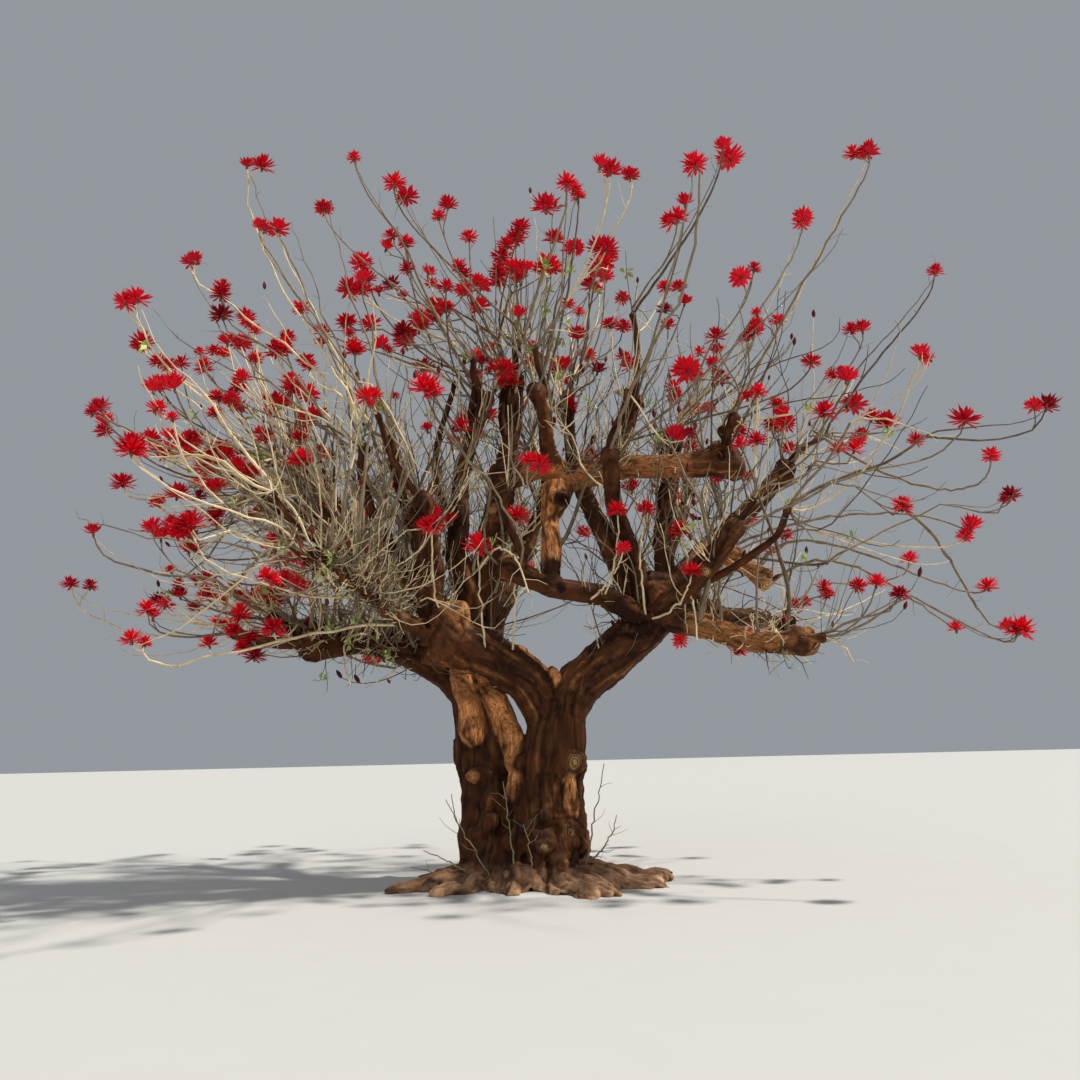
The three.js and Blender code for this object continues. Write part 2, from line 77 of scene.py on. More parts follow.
# Raised strands of wood on the trunk, each as points along it with its half-width.
STRANDS = [
    ([(-0.60, -0.04, 2.12), (-0.56, -0.06, 1.90), (-0.52, -0.09, 1.62), (-0.50, -0.10, 1.48)], 0.12),
    ([(-0.38, -0.02, 2.12), (-0.27, -0.06, 1.84), (-0.17, -0.08, 1.64), (-0.09, -0.12, 1.40)], 0.12),
    ([(-0.09, -0.12, 1.40), (-0.02, -0.20, 1.12), (-0.07, -0.28, 0.88)], 0.11),
    ([(0.49, -0.41, 0.97), (0.50, -0.42, 0.86), (0.49, -0.41, 0.70)], 0.078),
    ([(0.02, -0.31, 2.32), (0.14, -0.32, 2.21), (0.26, -0.31, 2.10)], 0.033),
    ([(0.34, -0.31, 2.05), (0.36, -0.32, 2.00), (0.36, -0.32, 1.93)], 0.050),
    ([(-0.58, 0.02, 1.35), (-0.56, -0.02, 1.00), (-0.50, -0.12, 0.60), (-0.54, -0.22, 0.12)], 0.10),
    ([(0.16, -0.46, 0.36), (0.17, -0.56, 0.20), (0.16, -0.66, 0.02)], 0.07),
    ([(0.02, -0.20, 1.25), (0.00, -0.34, 0.80), (-0.08, -0.46, 0.30), (-0.14, -0.56, 0.02)], 0.10),
    ([(-0.30, -0.16, 0.95), (-0.32, -0.28, 0.55), (-0.36, -0.42, 0.10)], 0.11),
    ([(0.50, -0.30, 1.00), (0.46, -0.40, 0.72), (0.40, -0.50, 0.30)], 0.09),
]

# The first few strands get painted sunlight, a pale orange as if lit, and so do some boughs, each from so
# many points before its end and so strongly.
SUNLIT_STRANDS = 6
SUNLIT_BOUGHS = {
    "elbow_stem": (0, 1.0),
    "log_limb": (1, 0.5),
    "sawn_limb": (0, 0.8),
    "low_right_bough": (0, 0.35),
}
# The stubs get the same pale orange, so strongly.
FRESH_STUBS = 0.45
FRESH_SAMPLES = 14

# Burls on the trunk, each with its middle and radius.
BURLS = [
    ((0.51, -0.33, 1.18), 0.125),
    ((0.21, -0.52, 0.42), 0.13),
    ((0.07, -0.49, 0.55), 0.12),
    ((0.47, -0.47, 0.57), 0.08),
    ((0.46, -0.50, 0.41), 0.09),
    ((0.43, -0.50, 0.26), 0.085),
    ((-0.09, -0.30, 0.88), 0.10),
    ((-0.44, -0.14, 1.04), 0.12),
    ((-0.42, -0.28, 0.46), 0.12),
    ((-0.20, 0.52, 0.70), 0.13),
    ((0.25, -0.41, 0.97), 0.12),
    ((0.10, -0.40, 0.70), 0.11),
    ((0.30, -0.45, 0.64), 0.09),
    ((-0.06, -0.62, 0.10), 0.17),
    ((-0.40, -0.07, 0.82), 0.15),
    ((-0.32, -0.13, 0.54), 0.12),
    ((-0.22, -0.34, 0.28), 0.13),
    ((0.44, -0.36, 0.92), 0.10),
    ((0.24, -0.50, 0.68), 0.10),
    ((0.36, -0.56, 0.24), 0.11),
    ((-0.30, -0.38, 0.62), 0.10),
    ((-0.12, -0.44, 0.42), 0.12),
]

# Stubs of old branches: foot, cut end and radius.
STUBS = [
    ((-0.46, -0.12, 1.05), (-0.51, -0.32, 1.06), 0.055),
    ((-0.30, 0.52, 1.40), (-0.34, 0.70, 1.46), 0.06),
    ((-0.60, -0.46, 2.48), (-0.615, -0.70, 2.73), 0.125),
    ((-0.27, 0.25, 3.80), (-0.27, 0.06, 3.86), 0.065),
]

# Lumps of root that lie about the foot: how many, how large, how far out they start, up to what height they
# lie and their middles rise, and how long and flat they are for their width.
ROOT_LUMPS = 62
ROOT_LUMP_SIZES = (0.055, 0.125)
ROOT_LUMP_START = 0.5
ROOT_LUMP_CEILING = 0.2
ROOT_LUMP_HEIGHT = 0.10
ROOT_LUMP_LENGTH = 1.7
ROOT_LUMP_FLATNESS = 0.6

# Up to what height the roots are creased, and how deeply.
ROOT_HEIGHT = 0.32
ROOT_CREASES = 0.034

# How finely the wood's direction is worked out, and how softly it blends from one bough to the next.
AXIS_STEP = 0.06
AXIS_SOFTNESS = 0.10
AXIS_BLOCK = 4000

# How much closer together the fine bark's places lie along the wood than across it.
GRAIN_SHARE = 0.18
STREAK_SAMPLES = 9

# The crown's masses by side, each with the bough whose end carries it.
CROWN = {
    "left": {
        "crown_left": "left_mid_limb",
        "crown_left_low": "left_low_bough",
        "crown_left_front": "left_front_limb",
        "crown_left_high": "left_upright",
        "crown_front_left": "front_riser",
    },
    "top": {
        "crown_top_centre": "centre_leader",
        "crown_top_left": "left_inner_upright",
        "crown_top_back": "inner_limb",
        "crown_top_right": "log_riser",
        "crown_front_high": "elbow_riser",
    },
    "right": {
        "crown_right_high": "log_limb",
        "crown_right_back_high": "right_upright",
        "crown_right": "rising_limb",
        "crown_right_mid": "sawn_limb",
        "crown_right_back_low": "low_right_back_bough",
    },
    "front": {
        "crown_front": "crossing_limb",
        "crown_front_right": "inner_front_limb",
        "crown_right_front": "right_front_limb",
        "crown_right_front_low": "low_right_bough",
    },
    "back": {
        "crown_back": "back_bough",
        "crown_back_left": "back_left_riser",
        "crown_back_left_low": "back_left_bough",
        "crown_back_high": "back_riser",
        "crown_back_right": "back_right_riser",
        "crown_back_right_low": "back_right_bough",
    },
}

# Boughs that carry more or fewer thin upright shoots than the rest.
THICKETS = {
    "left_low_bough": 4.2,
    "left_mid_limb": 3.6,
    "left_front_limb": 4.8,
    "front_left_bough": 0.35,
    "front_riser": 0.3,
    "left_upright": 0.7,
    "crossing_limb": 0.3,
    "right_bough": 0.25,
    "centre_leader": 0.6,
    "inner_limb": 0.6,
    "inner_front_limb": 0.4,
    "elbow_stem": 0.1,
    "elbow_riser": 0.7,
    "low_right_bough": 0.7,
    "right_front_limb": 0.6,
    "low_right_back_bough": 0.6,
    "sawn_limb": 0.2,
    "rising_limb": 0.6,
    "right_upright": 0.6,
    "log_limb": 0.7,
}

# How far down from its end a bough's thin shoots stand, where they don't stand on nearly all of it.
REACHES = {"left_front_limb": 0.62, "left_mid_limb": 0.65, "front_left_bough": 0.6}

# Short dead spurs on each metre of the boughs that have many.
SPURS = {
    "left_front_limb": 60,
    "low_right_bough": 46,
    "low_right_back_bough": 22,
    "left_low_bough": 20,
    "log_limb": 26,
    "sawn_limb": 14,
    "front_left_bough": 8,
    "crossing_limb": 8,
    "right_bough": 4,
}

# How far the thin shoots of some boughs lean forward over their bark.
LEANS = {"left_front_limb": 1.3, "left_mid_limb": 0.7, "left_low_bough": 0.8}

# How steeply a bough's thin shoots rise, where they don't all stand up.
RISES = {
    "left_low_bough": 0.15,
    "left_mid_limb": 0.3,
    "left_front_limb": 0.1,
    "low_right_bough": 0.3,
    "right_front_limb": 0.4,
    "low_right_back_bough": 0.3,
    "back_left_bough": 0.3,
    "back_right_bough": 0.4,
}

# How thickly a mass flowers where it isn't as the rest.
FLOWERING = {
    "crown_left_high": 1.3,
    "crown_top_left": 1.7,
    "crown_left": 2.7,
    "crown_left_low": 2.0,
    "crown_left_front": 0.5,
    "crown_front_left": 0.07,
    "crown_front_high": 0.42,
    "crown_top_back": 1.5,
    "crown_top_right": 0.34,
    "crown_top_centre": 1.6,
    "crown_back": 0.42,
    "crown_back_left": 0.22,
    "crown_back_left_low": 0.7,
    "crown_back_high": 0.6,
    "crown_back_right": 0.55,
    "crown_back_right_low": 0.6,
    "crown_right": 0.65,
    "crown_right_high": 0.65,
    "crown_right_back_high": 0.6,
    "crown_right_mid": 0.15,
    "crown_right_back_low": 0.5,
    "crown_front": 0.15,
    "crown_front_right": 0.12,
    "crown_right_front": 0.35,
}

# How strongly a side's flowers, or those of one of its masses, keep to the upper parts.
HEAD_LIFTS = {
    "left": 0.6,
    "top": 1.0,
    "right": 0.9,
    "front": 0.8,
    "back": 0.8,
    "crown_left_low": 0.1,
    "crown_left_high": 1.6,
    "crown_top_left": 1.2,
    "crown_top_centre": 0.5,
}

# How many tips with no flower a side has for each one that flowers, and how many of its shoots are pale. The
# pale share also paints light and shade: a large share on the left stands for sunlit shoots, a small one
# among the sprouts on the boughs for shaded ones.
BARE_TIPS = {"left": 3.0, "top": 1.0, "right": 2.6, "front": 2.4, "back": 1.2, "boughs": 1.0}
PALE_SHARES = {"left": 0.68, "top": 0.30, "right": 0.38, "front": 0.5, "back": 0.35, "boughs": 0.34}

# How much a side's shoots wander and curl.
CURLS = {"left": 1.6, "top": 0.55, "right": 0.8, "front": 1.3, "back": 1.0, "boughs": 1.2}

# Old branch scars: a point near the wood's surface, the scar's radius, how far its rim stands out, how tall
# it is for its width, and whether it has healed over or left a hole.
SCARS = [
    ((0.53, -0.45, 1.185), 0.115, 0.034, 1.3, True),
    ((0.47, -0.52, 0.52), 0.070, 0.026, 1.5, True),
    ((0.22, -0.63, 0.40), 0.085, 0.026, 0.6, True),
    ((0.42, -0.42, 2.02), 0.08, 0.03, 1.0, False),
    ((0.66, 0.05, 0.62), 0.11, 0.03, 1.2, False),
    ((-0.20, 0.62, 0.70), 0.11, 0.03, 1.3, True),
    ((0.35, 0.22, 1.05), 0.09, 0.03, 1.0, False),
    ((-0.70, 0.30, 1.25), 0.10, 0.03, 1.3, True),
]
KNOTHOLE = ((0.475, -0.30, 3.86), 0.085, 0.035, 1.0, False)

# Swellings on the boughs, each with its middle and radius.
BOUGH_LUMPS = {
    "elbow_stem": [((0.44, -0.165, 3.885), 0.145)],
    "log_limb": [((2.30, -0.27, 4.17), 0.13), ((2.27, -0.16, 4.33), 0.12), ((2.22, -0.33, 4.31), 0.11)],
    "sawn_limb": [((2.25, -0.25, 3.22), 0.12)],
    "front_riser": [
        ((-0.87, -0.55, 2.98), 0.155),
        ((-0.87, -0.62, 3.09), 0.142),
        ((-0.87, -0.69, 3.20), 0.133),
        ((-0.88, -0.77, 3.31), 0.128),
        ((-0.88, -0.85, 3.42), 0.125),
    ],
}

# A scar's rings, out from its middle in its own radii: where each lies, its width, how far it stands out or
# falls in, and how pale or dark it is painted: painted light on the raised rim and middle, painted shade in
# the groove. The last is its middle, which falls in where there is a hole and is painted dark there as shade.
SCAR_RINGS = [(0.95, 0.28, 1.0, 0.15), (0.62, 0.15, -0.8, -0.55), (0.0, 0.40, 0.45, 0.10)]
HOLE_RING = (0.0, 0.48, -1.9, -1.5)

# How closely the rings in the bare wood of a healed scar or a cut follow each other.
RING_TURNS = 24.0

# Thin suckers at the foot, as start, bend and end.
SUCKERS = [
    ((-0.25, -0.50, 0.02), (-0.42, -0.62, 0.30), (-0.72, -0.70, 0.86)),
    ((-0.08, -0.56, 0.03), (-0.08, -0.66, 0.45), (-0.17, -0.72, 1.02)),
    ((0.05, -0.60, 0.02), (0.12, -0.70, 0.30), (0.02, -0.74, 0.62)),
    ((0.60, -0.36, 0.12), (0.70, -0.42, 0.60), (0.82, -0.46, 1.16)),
    ((0.64, -0.34, 0.20), (0.86, -0.36, 0.36), (0.93, -0.38, 0.66)),
    ((-0.40, -0.40, 0.05), (-0.62, -0.50, 0.24), (-0.95, -0.55, 0.38)),
    ((-0.42, -0.38, 0.04), (-0.74, -0.46, 0.16), (-1.08, -0.50, 0.22)),
    ((-0.55, 0.40, 0.05), (-0.70, 0.55, 0.35), (-0.78, 0.62, 0.85)),
]

# Stout pale shoots that rise in front of the fork and flower, as start, bend and end.
RISING_SHOOTS = [
    ((-0.33, -0.58, 2.30), (-0.36, -0.85, 2.75), (-0.37, -0.90, 3.26)),
    ((-0.06, -0.45, 2.30), (-0.02, -0.85, 2.60), (0.02, -0.90, 3.55)),
    ((-0.75, -0.60, 2.55), (-0.85, -1.00, 2.95), (-0.80, -1.05, 3.60)),
    ((0.82, -0.52, 2.70), (1.04, -0.90, 3.11), (1.01, -0.90, 3.59)),
    ((1.29, -0.46, 2.62), (1.18, -0.85, 3.11), (1.29, -0.90, 3.59)),
    ((0.72, -0.62, 2.76), (0.93, -0.95, 2.86), (1.05, -1.00, 3.19)),
    ((1.78, -0.42, 2.66), (1.70, -0.90, 3.09), (1.62, -0.90, 3.37)),
    ((1.36, -0.46, 2.58), (1.64, -1.00, 2.59), (1.68, -1.10, 2.94)),
]

# Long shoots that hang from the low boughs, as start, bend and end.
WHIPS = [
    ((-0.35, -0.95, 3.05), (-0.05, -1.35, 3.45), (0.12, -1.30, 2.75)),
    ((1.55, -0.50, 2.80), (1.75, -0.85, 3.05), (1.72, -0.95, 2.30)),
    ((-1.55, -0.30, 2.50), (-1.85, -0.70, 2.50), (-1.60, -0.90, 1.95)),
    ((2.70, -0.95, 2.30), (3.05, -1.20, 2.35), (3.10, -1.30, 2.02)),
]

# Long stout shoots that arch out of the crown and flower, as start, rise, fall and end.
ARCHES = [
    ((2.20, 0.00, 3.34), (3.02, -0.05, 3.75), (4.20, -0.25, 3.78), (4.66, -0.35, 3.42)),
    ((4.10, -0.21, 3.66), (4.53, -0.30, 3.40), (4.60, -0.40, 2.30), (4.91, -0.50, 2.40)),
    ((2.54, -0.05, 3.12), (2.90, -0.20, 3.99), (4.49, -0.50, 2.49), (4.75, -0.50, 2.80)),
    ((2.65, -0.05, 2.95), (3.26, -0.30, 3.53), (3.78, -0.60, 2.79), (4.35, -0.60, 2.38)),
    ((3.30, 0.20, 4.70), (4.06, 0.00, 3.95), (5.05, -0.10, 3.62), (5.10, -0.10, 4.28)),
    ((-1.90, -1.20, 3.45), (-2.39, -1.50, 3.23), (-2.62, -1.60, 2.80), (-2.75, -1.60, 2.30)),
    ((-2.90, -0.90, 4.08), (-3.20, -1.00, 4.30), (-3.56, -1.10, 4.33), (-4.10, -1.20, 4.64)),
]


class BarkSettings(bpy.types.PropertyGroup):
    """Sizes and colours of the trunk and boughs."""

    grain: FloatProperty(
        name="Grain", description="Size of the trunk's finest worked relief", default=0.0193, unit="LENGTH"
    )
    bough_grain: FloatProperty(
        name="Bough grain", description="Size of the boughs' finest worked relief",
        default=0.022, unit="LENGTH",
    )
    furrow_depth: FloatProperty(
        name="Furrow depth", description="Depth of the furrows that run up the wood",
        default=0.023, unit="LENGTH",
    )
    wrinkle_depth: FloatProperty(
        name="Wrinkle depth", description="Depth of the wrinkles that run across the wood",
        default=0.007, unit="LENGTH",
    )
    ridge_colour: FloatVectorProperty(
        name="Ridge colour", description="Colour of the bark's ridges",
        subtype="COLOR", default=(0.130, 0.045, 0.016),
    )
    # This dark colour paints shade into the bark's furrows, creases and holes; it also darkens random patches
    # and the rings of bare wood.
    dark_and_shade_colour: FloatVectorProperty(
        name="Furrow colour", description="Colour deep in the bark's furrows",
        subtype="COLOR", default=(0.022, 0.008, 0.004),
    )
    weathered_colour: FloatVectorProperty(
        name="Weathered colour", description="Colour of old grey bark on upper sides",
        subtype="COLOR", default=(0.080, 0.045, 0.026),
    )
    # The roots' own paler colour, which also paints sunlight on their ridges.
    root_and_sunlit_colour: FloatVectorProperty(
        name="Root colour", description="Colour of the bare roots on the ground",
        subtype="COLOR", default=(0.92, 0.55, 0.31),
    )
    # This colour is young bark in random flakes, painted sunlight on the strands and some boughs, and pale
    # orange on the stubs.
    young_and_sunlit_colour: FloatVectorProperty(
        name="Young colour", description="Colour of smooth young bark on the strands",
        subtype="COLOR", default=(0.95, 0.40, 0.14),
    )
    cut_colour: FloatVectorProperty(
        name="Cut colour", description="Colour of bare wood in scars and on cuts",
        subtype="COLOR", default=(0.74, 0.44, 0.20),
    )


class ShootSettings(bpy.types.PropertyGroup):
    """Sizes and colours of the bare shoots."""

    tip_radius: FloatProperty(
        name="Tip radius", description="Radius of a shoot at its tip", default=0.0068, unit="LENGTH"
    )
    taper: FloatProperty(
        name="Taper", description="How much thicker a shoot is for each metre from its tip", default=0.0028
    )
    knob_share: FloatProperty(
        name="Knob share", description="Share of tips whose shoots rise from small knobs", default=0.66
    )
    stout_share: FloatProperty(
        name="Stout share", description="Share of the other tips that stand on thick forked shoots",
        default=0.5,
    )
    sprouts: FloatProperty(
        name="Sprouts", description="Thin upright shoots on each metre of bough", default=21.0
    )
    upright_share: FloatProperty(
        name="Upright share", description="Share of the boughs' shoots that are stout, long and upright",
        default=0.07,
    )
    cluster_share: FloatProperty(
        name="Cluster share", description="Share of flower heads that have a second one beside them",
        default=0.72,
    )
    twiglets: FloatProperty(
        name="Twiglets", description="Chance of a dead twig at each joint of a shoot", default=0.16
    )
    # Pale, grey and brown shoots are young, weathered and dead ones, and also paint light and shade: pale for
    # sunlit shoots, grey and brown for shaded ones.
    pale_colour: FloatVectorProperty(
        name="Pale colour", description="Colour of young shoots",
        subtype="COLOR", default=(0.86, 0.70, 0.42),
    )
    grey_colour: FloatVectorProperty(
        name="Grey colour", description="Colour of weathered shoots",
        subtype="COLOR", default=(0.30, 0.232, 0.145),
    )
    brown_colour: FloatVectorProperty(
        name="Brown colour", description="Colour of dead and old shoots",
        subtype="COLOR", default=(0.100, 0.062, 0.036),
    )


class BlossomSettings(bpy.types.PropertyGroup):
    """Sizes and colours of the flower heads."""

    heads: IntProperty(name="Heads", description="Flowering tips on the whole crown", default=275)
    head_radius: FloatProperty(
        name="Head radius", description="Length of a full flower head's petals", default=0.123, unit="LENGTH"
    )
    bud_length: FloatProperty(
        name="Bud length", description="Length of a closed bud", default=0.07, unit="LENGTH"
    )
    bud_colour: FloatVectorProperty(
        name="Bud colour", description="Colour of the closed and dried buds",
        subtype="COLOR", default=(0.05, 0.018, 0.014),
    )
    scarlet: FloatVectorProperty(
        name="Scarlet", description="Colour of the freshest heads",
        subtype="COLOR", default=(0.80, 0.008, 0.026),
    )
    crimson: FloatVectorProperty(
        name="Crimson", description="Colour of most heads",
        subtype="COLOR", default=(0.66, 0.005, 0.022),
    )
    wine: FloatVectorProperty(
        name="Wine", description="Colour of the oldest heads",
        subtype="COLOR", default=(0.36, 0.003, 0.014),
    )


class LeafSettings(bpy.types.PropertyGroup):
    """Sizes and colours of the few young leaves."""

    tufts: IntProperty(name="Tufts", description="Tufts of young leaves in the crown", default=120)
    leaf_length: FloatProperty(
        name="Leaf length", description="Length of one leaflet", default=0.082, unit="LENGTH"
    )
    fresh_green: FloatVectorProperty(
        name="Fresh green", description="Colour of the youngest leaves",
        subtype="COLOR", default=(0.50, 0.62, 0.14),
    )
    olive_green: FloatVectorProperty(
        name="Olive green", description="Colour of the older leaves",
        subtype="COLOR", default=(0.22, 0.31, 0.06),
    )


class StageSettings(bpy.types.PropertyGroup):
    """The floor, the lights and the camera."""

    eye_height: FloatProperty(name="Eye height", description="Camera's height", default=1.40, unit="LENGTH")
    eye_distance: FloatProperty(
        name="Eye distance", description="Camera's distance in front of the trunk",
        default=11.0, unit="LENGTH",
    )
    eye_offset: FloatProperty(
        name="Eye offset", description="Camera's distance to the right of the trunk",
        default=0.24, unit="LENGTH",
    )
    tilt: FloatProperty(
        name="Tilt", description="How far the camera looks up", default=math.radians(10.8), subtype="ANGLE"
    )
    roll: FloatProperty(
        name="Roll", description="How far the camera leans", default=math.radians(1.33), subtype="ANGLE"
    )
    lens: FloatProperty(
        name="Lens", description="Focal length on a 36 mm sensor", default=34.93, unit="CAMERA"
    )
    floor_colour: FloatVectorProperty(
        name="Floor colour", description="Colour of the floor",
        subtype="COLOR", default=(0.56, 0.56, 0.54),
    )


class Wire:
    """A socket of a material's nodes. Sums on values add their Math nodes."""

    def __init__(self, paint, socket):
        self.paint = paint
        self.socket = socket

    def combine(self, operation, first, second):
        return self.paint.node("ShaderNodeMath", {"operation": operation}, {0: first, 1: second})

    def __add__(self, other):
        return self.combine("ADD", self, other)

    def __radd__(self, other):
        return self.combine("ADD", other, self)

    def __sub__(self, other):
        return self.combine("SUBTRACT", self, other)

    def __rsub__(self, other):
        return self.combine("SUBTRACT", other, self)

    def __mul__(self, other):
        return self.combine("MULTIPLY", self, other)

    def __rmul__(self, other):
        return self.combine("MULTIPLY", other, self)


class Paint:
    """A material whose nodes are made one call at a time."""

    def __init__(self, name):
        self.material = bpy.data.materials.new(name)
        self.material.use_nodes = True
        self.tree = self.material.node_tree
        self.tree.nodes.clear()

    def node(self, kind, settings=None, inputs=None, output=0):
        """A node of that type, with its settings made first, then its sockets filled or linked."""
        made = self.tree.nodes.new(kind)
        for key, value in (settings or {}).items():
            if key == "stops":
                self.set_stops(made.color_ramp, value)
            else:
                setattr(made, key, value)
        for key, value in (inputs or {}).items():
            if isinstance(value, Wire):
                self.tree.links.new(value.socket, made.inputs[key])
            else:
                made.inputs[key].default_value = value
        return Wire(self, made.outputs[output]) if len(made.outputs) else None

    @staticmethod
    def set_stops(ramp, stops):
        """Grey stops on a colour ramp, each a place with its level."""
        for place, level in stops:
            stop = ramp.elements[0] if place == stops[0][0] else ramp.elements[-1]
            if place not in (stops[0][0], stops[-1][0]):
                stop = ramp.elements.new(place)
            stop.position = place
            stop.color = (level, level, level, 1)

    def position(self):
        """Where the surface lies on the tree."""
        return self.node("ShaderNodeTexCoord", output="Object")

    def upward(self, vector):
        """How far a vector points up."""
        return self.node("ShaderNodeSeparateXYZ", None, {0: vector}, output=2)

    def attribute(self, name, output):
        """What the mesh holds at each of its corners under that name."""
        return self.node("ShaderNodeAttribute", {"attribute_name": name}, output=output)

    def noise(self, size, detail=4.0, place=None, roughness=0.55):
        """Cloudy values from 0 to 1 with lumps of about that size."""
        where = place or self.position()
        inputs = {"Vector": where, "Scale": 1 / size, "Detail": detail, "Roughness": roughness}
        return self.node("ShaderNodeTexNoise", None, inputs)

    def ramp(self, value, low, high):
        """A value spread out so that low becomes 0 and high becomes 1."""
        return self.node("ShaderNodeValToRGB", {"stops": [(low, 0), (high, 1)]}, {"Fac": value})

    def blend(self, first, second, share):
        """A colour between two, each a colour's numbers or a link."""
        inputs = {0: share}
        for key, value in ((6, first), (7, second)):
            inputs[key] = value if isinstance(value, Wire) else (*value, 1)
        return self.node("ShaderNodeMix", {"data_type": "RGBA"}, inputs, output=2)

    def bump(self, height, distance, strength=1.0):
        """A normal that follows a height, which spans that distance."""
        inputs = {"Height": height, "Distance": distance, "Strength": strength}
        return self.node("ShaderNodeBump", None, inputs)

    def finish(self, inputs):
        """The shader itself, and the finished material."""
        shader = self.node("ShaderNodeBsdfPrincipled", None, inputs)
        self.node("ShaderNodeOutputMaterial", None, {"Surface": shader})
        return self.material


def seed_of(name):
    """A seed of its own for each name."""
    return sum(ord(letter) * (place + 1) for place, letter in enumerate(name))


def unit(vector):
    """A vector made one long."""
    return vector / max(float(np.linalg.norm(vector)), 1e-9)


def units(vectors):
    """Rows of vectors, each made one long."""
    return vectors / np.maximum(np.linalg.norm(vectors, axis=-1, keepdims=True), 1e-9)


# Large primes that scramble a cell's place into a value.
CELL_PRIMES = np.array([73856093, 19349663, 83492791])
SEED_PRIME = 982451653
MIX_PRIME = 1274126177


def noise(points, seed):
    """Smooth noise from -1 to 1 at each point, with lumps about one unit across."""
    cell = np.floor(points).astype(np.int64)
    part = points - cell
    part = part * part * (3 - 2 * part)
    total = np.zeros(len(points))
    for corner in product((0, 1), repeat=3):
        key = (cell + corner) @ CELL_PRIMES + seed * SEED_PRIME
        key = (key ^ (key >> 13)) * MIX_PRIME
        key = (key ^ (key >> 16)) & 0xFFFF
        weight = np.prod(np.where(corner, part, 1 - part), axis=1)
        total += weight * (key / 0x7FFF - 1)
    return total


def path_marks(path):
    """How far along a path each of its points lies."""
    return np.concatenate([[0], np.cumsum(np.linalg.norm(np.diff(path, axis=0), axis=1))])


def path_points(path, marks, places):
    """A path's points at some places, where marks are the places of its own points."""
    return np.column_stack([np.interp(places, marks, path[:, k]) for k in range(3)])


def turn_onto(axis, start=(0, 0, 1)):
    """The turn that brings a direction onto another."""
    return Vector(start).rotation_difference(Vector(axis)).to_matrix()


class Pile:
    """Small meshes gathered into one, with a tone for each face."""

    def __init__(self):
        self.corners = []
        self.faces = []
        self.tones = []
        self.count = 0

    def add(self, corners, faces, tone=0):
        self.corners.append(corners)
        self.faces.append(faces + self.count)
        self.tones.append(np.full(len(faces), tone))
        self.count += len(corners)

    def joined(self):
        """All corners, all faces and each face's tone."""
        return np.vstack(self.corners), np.vstack(self.faces), np.concatenate(self.tones)


def corner_places(mesh):
    """Where a mesh's corners lie."""
    corners = np.empty(len(mesh.vertices) * 3)
    mesh.vertices.foreach_get("co", corners)
    return corners.reshape(-1, 3)


def node_arrays(name):
    """A CAD node's corners and triangles."""
    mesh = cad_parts[name].data
    mesh.calc_loop_triangles()
    triangles = np.empty(len(mesh.loop_triangles) * 3, np.int32)
    mesh.loop_triangles.foreach_get("vertices", triangles)
    return corner_places(mesh), triangles.reshape(-1, 3)


def welded(corners, triangles):
    """The same solid with the corners that lie in one place made one."""
    keys, first, back = np.unique(np.round(corners, 5), axis=0, return_index=True, return_inverse=True)
    return corners[first], back.reshape(-1)[triangles]


def corner_normals(corners, faces):
    """The outward direction at each corner of triangles or four-cornered faces."""
    spots = [corners[faces[:, k]] for k in range(faces.shape[1])]
    if len(spots) == 3:
        across = np.cross(spots[1] - spots[0], spots[2] - spots[0])
    else:
        across = np.cross(spots[2] - spots[0], spots[3] - spots[1])
    normals = np.zeros_like(corners)
    for k in range(len(spots)):
        np.add.at(normals, faces[:, k], across)
    return units(normals)


def add_mesh(name, corners, faces, materials, tones=None, smooth=True):
    """An object from arrays. faces has three or four corners a row, and tones picks each face's material."""
    mesh = bpy.data.meshes.new(name)
    size = faces.shape[1]
    mesh.vertices.add(len(corners))
    mesh.vertices.foreach_set("co", np.ascontiguousarray(corners, dtype=np.float32).ravel())
    mesh.loops.add(faces.size)
    mesh.loops.foreach_set("vertex_index", np.ascontiguousarray(faces, dtype=np.int32).ravel())
    mesh.polygons.add(len(faces))
    mesh.polygons.foreach_set("loop_start", np.arange(0, faces.size, size, dtype=np.int32))
    mesh.polygons.foreach_set("use_smooth", np.full(len(faces), smooth))
    for material in materials:
        mesh.materials.append(material)
    if tones is not None:
        mesh.polygons.foreach_set("material_index", np.ascontiguousarray(tones, dtype=np.int32))
    mesh.update(calc_edges=True)
    mesh.validate()
    piece = bpy.data.objects.new(name, mesh)
    bpy.context.scene.collection.objects.link(piece)
    return piece


def place_piece(piece, nodes=()):
    """Hands a piece over to the frame: its body and the CAD nodes it replaces."""
    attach(piece, BODY)
    if nodes:
        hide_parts(*nodes)


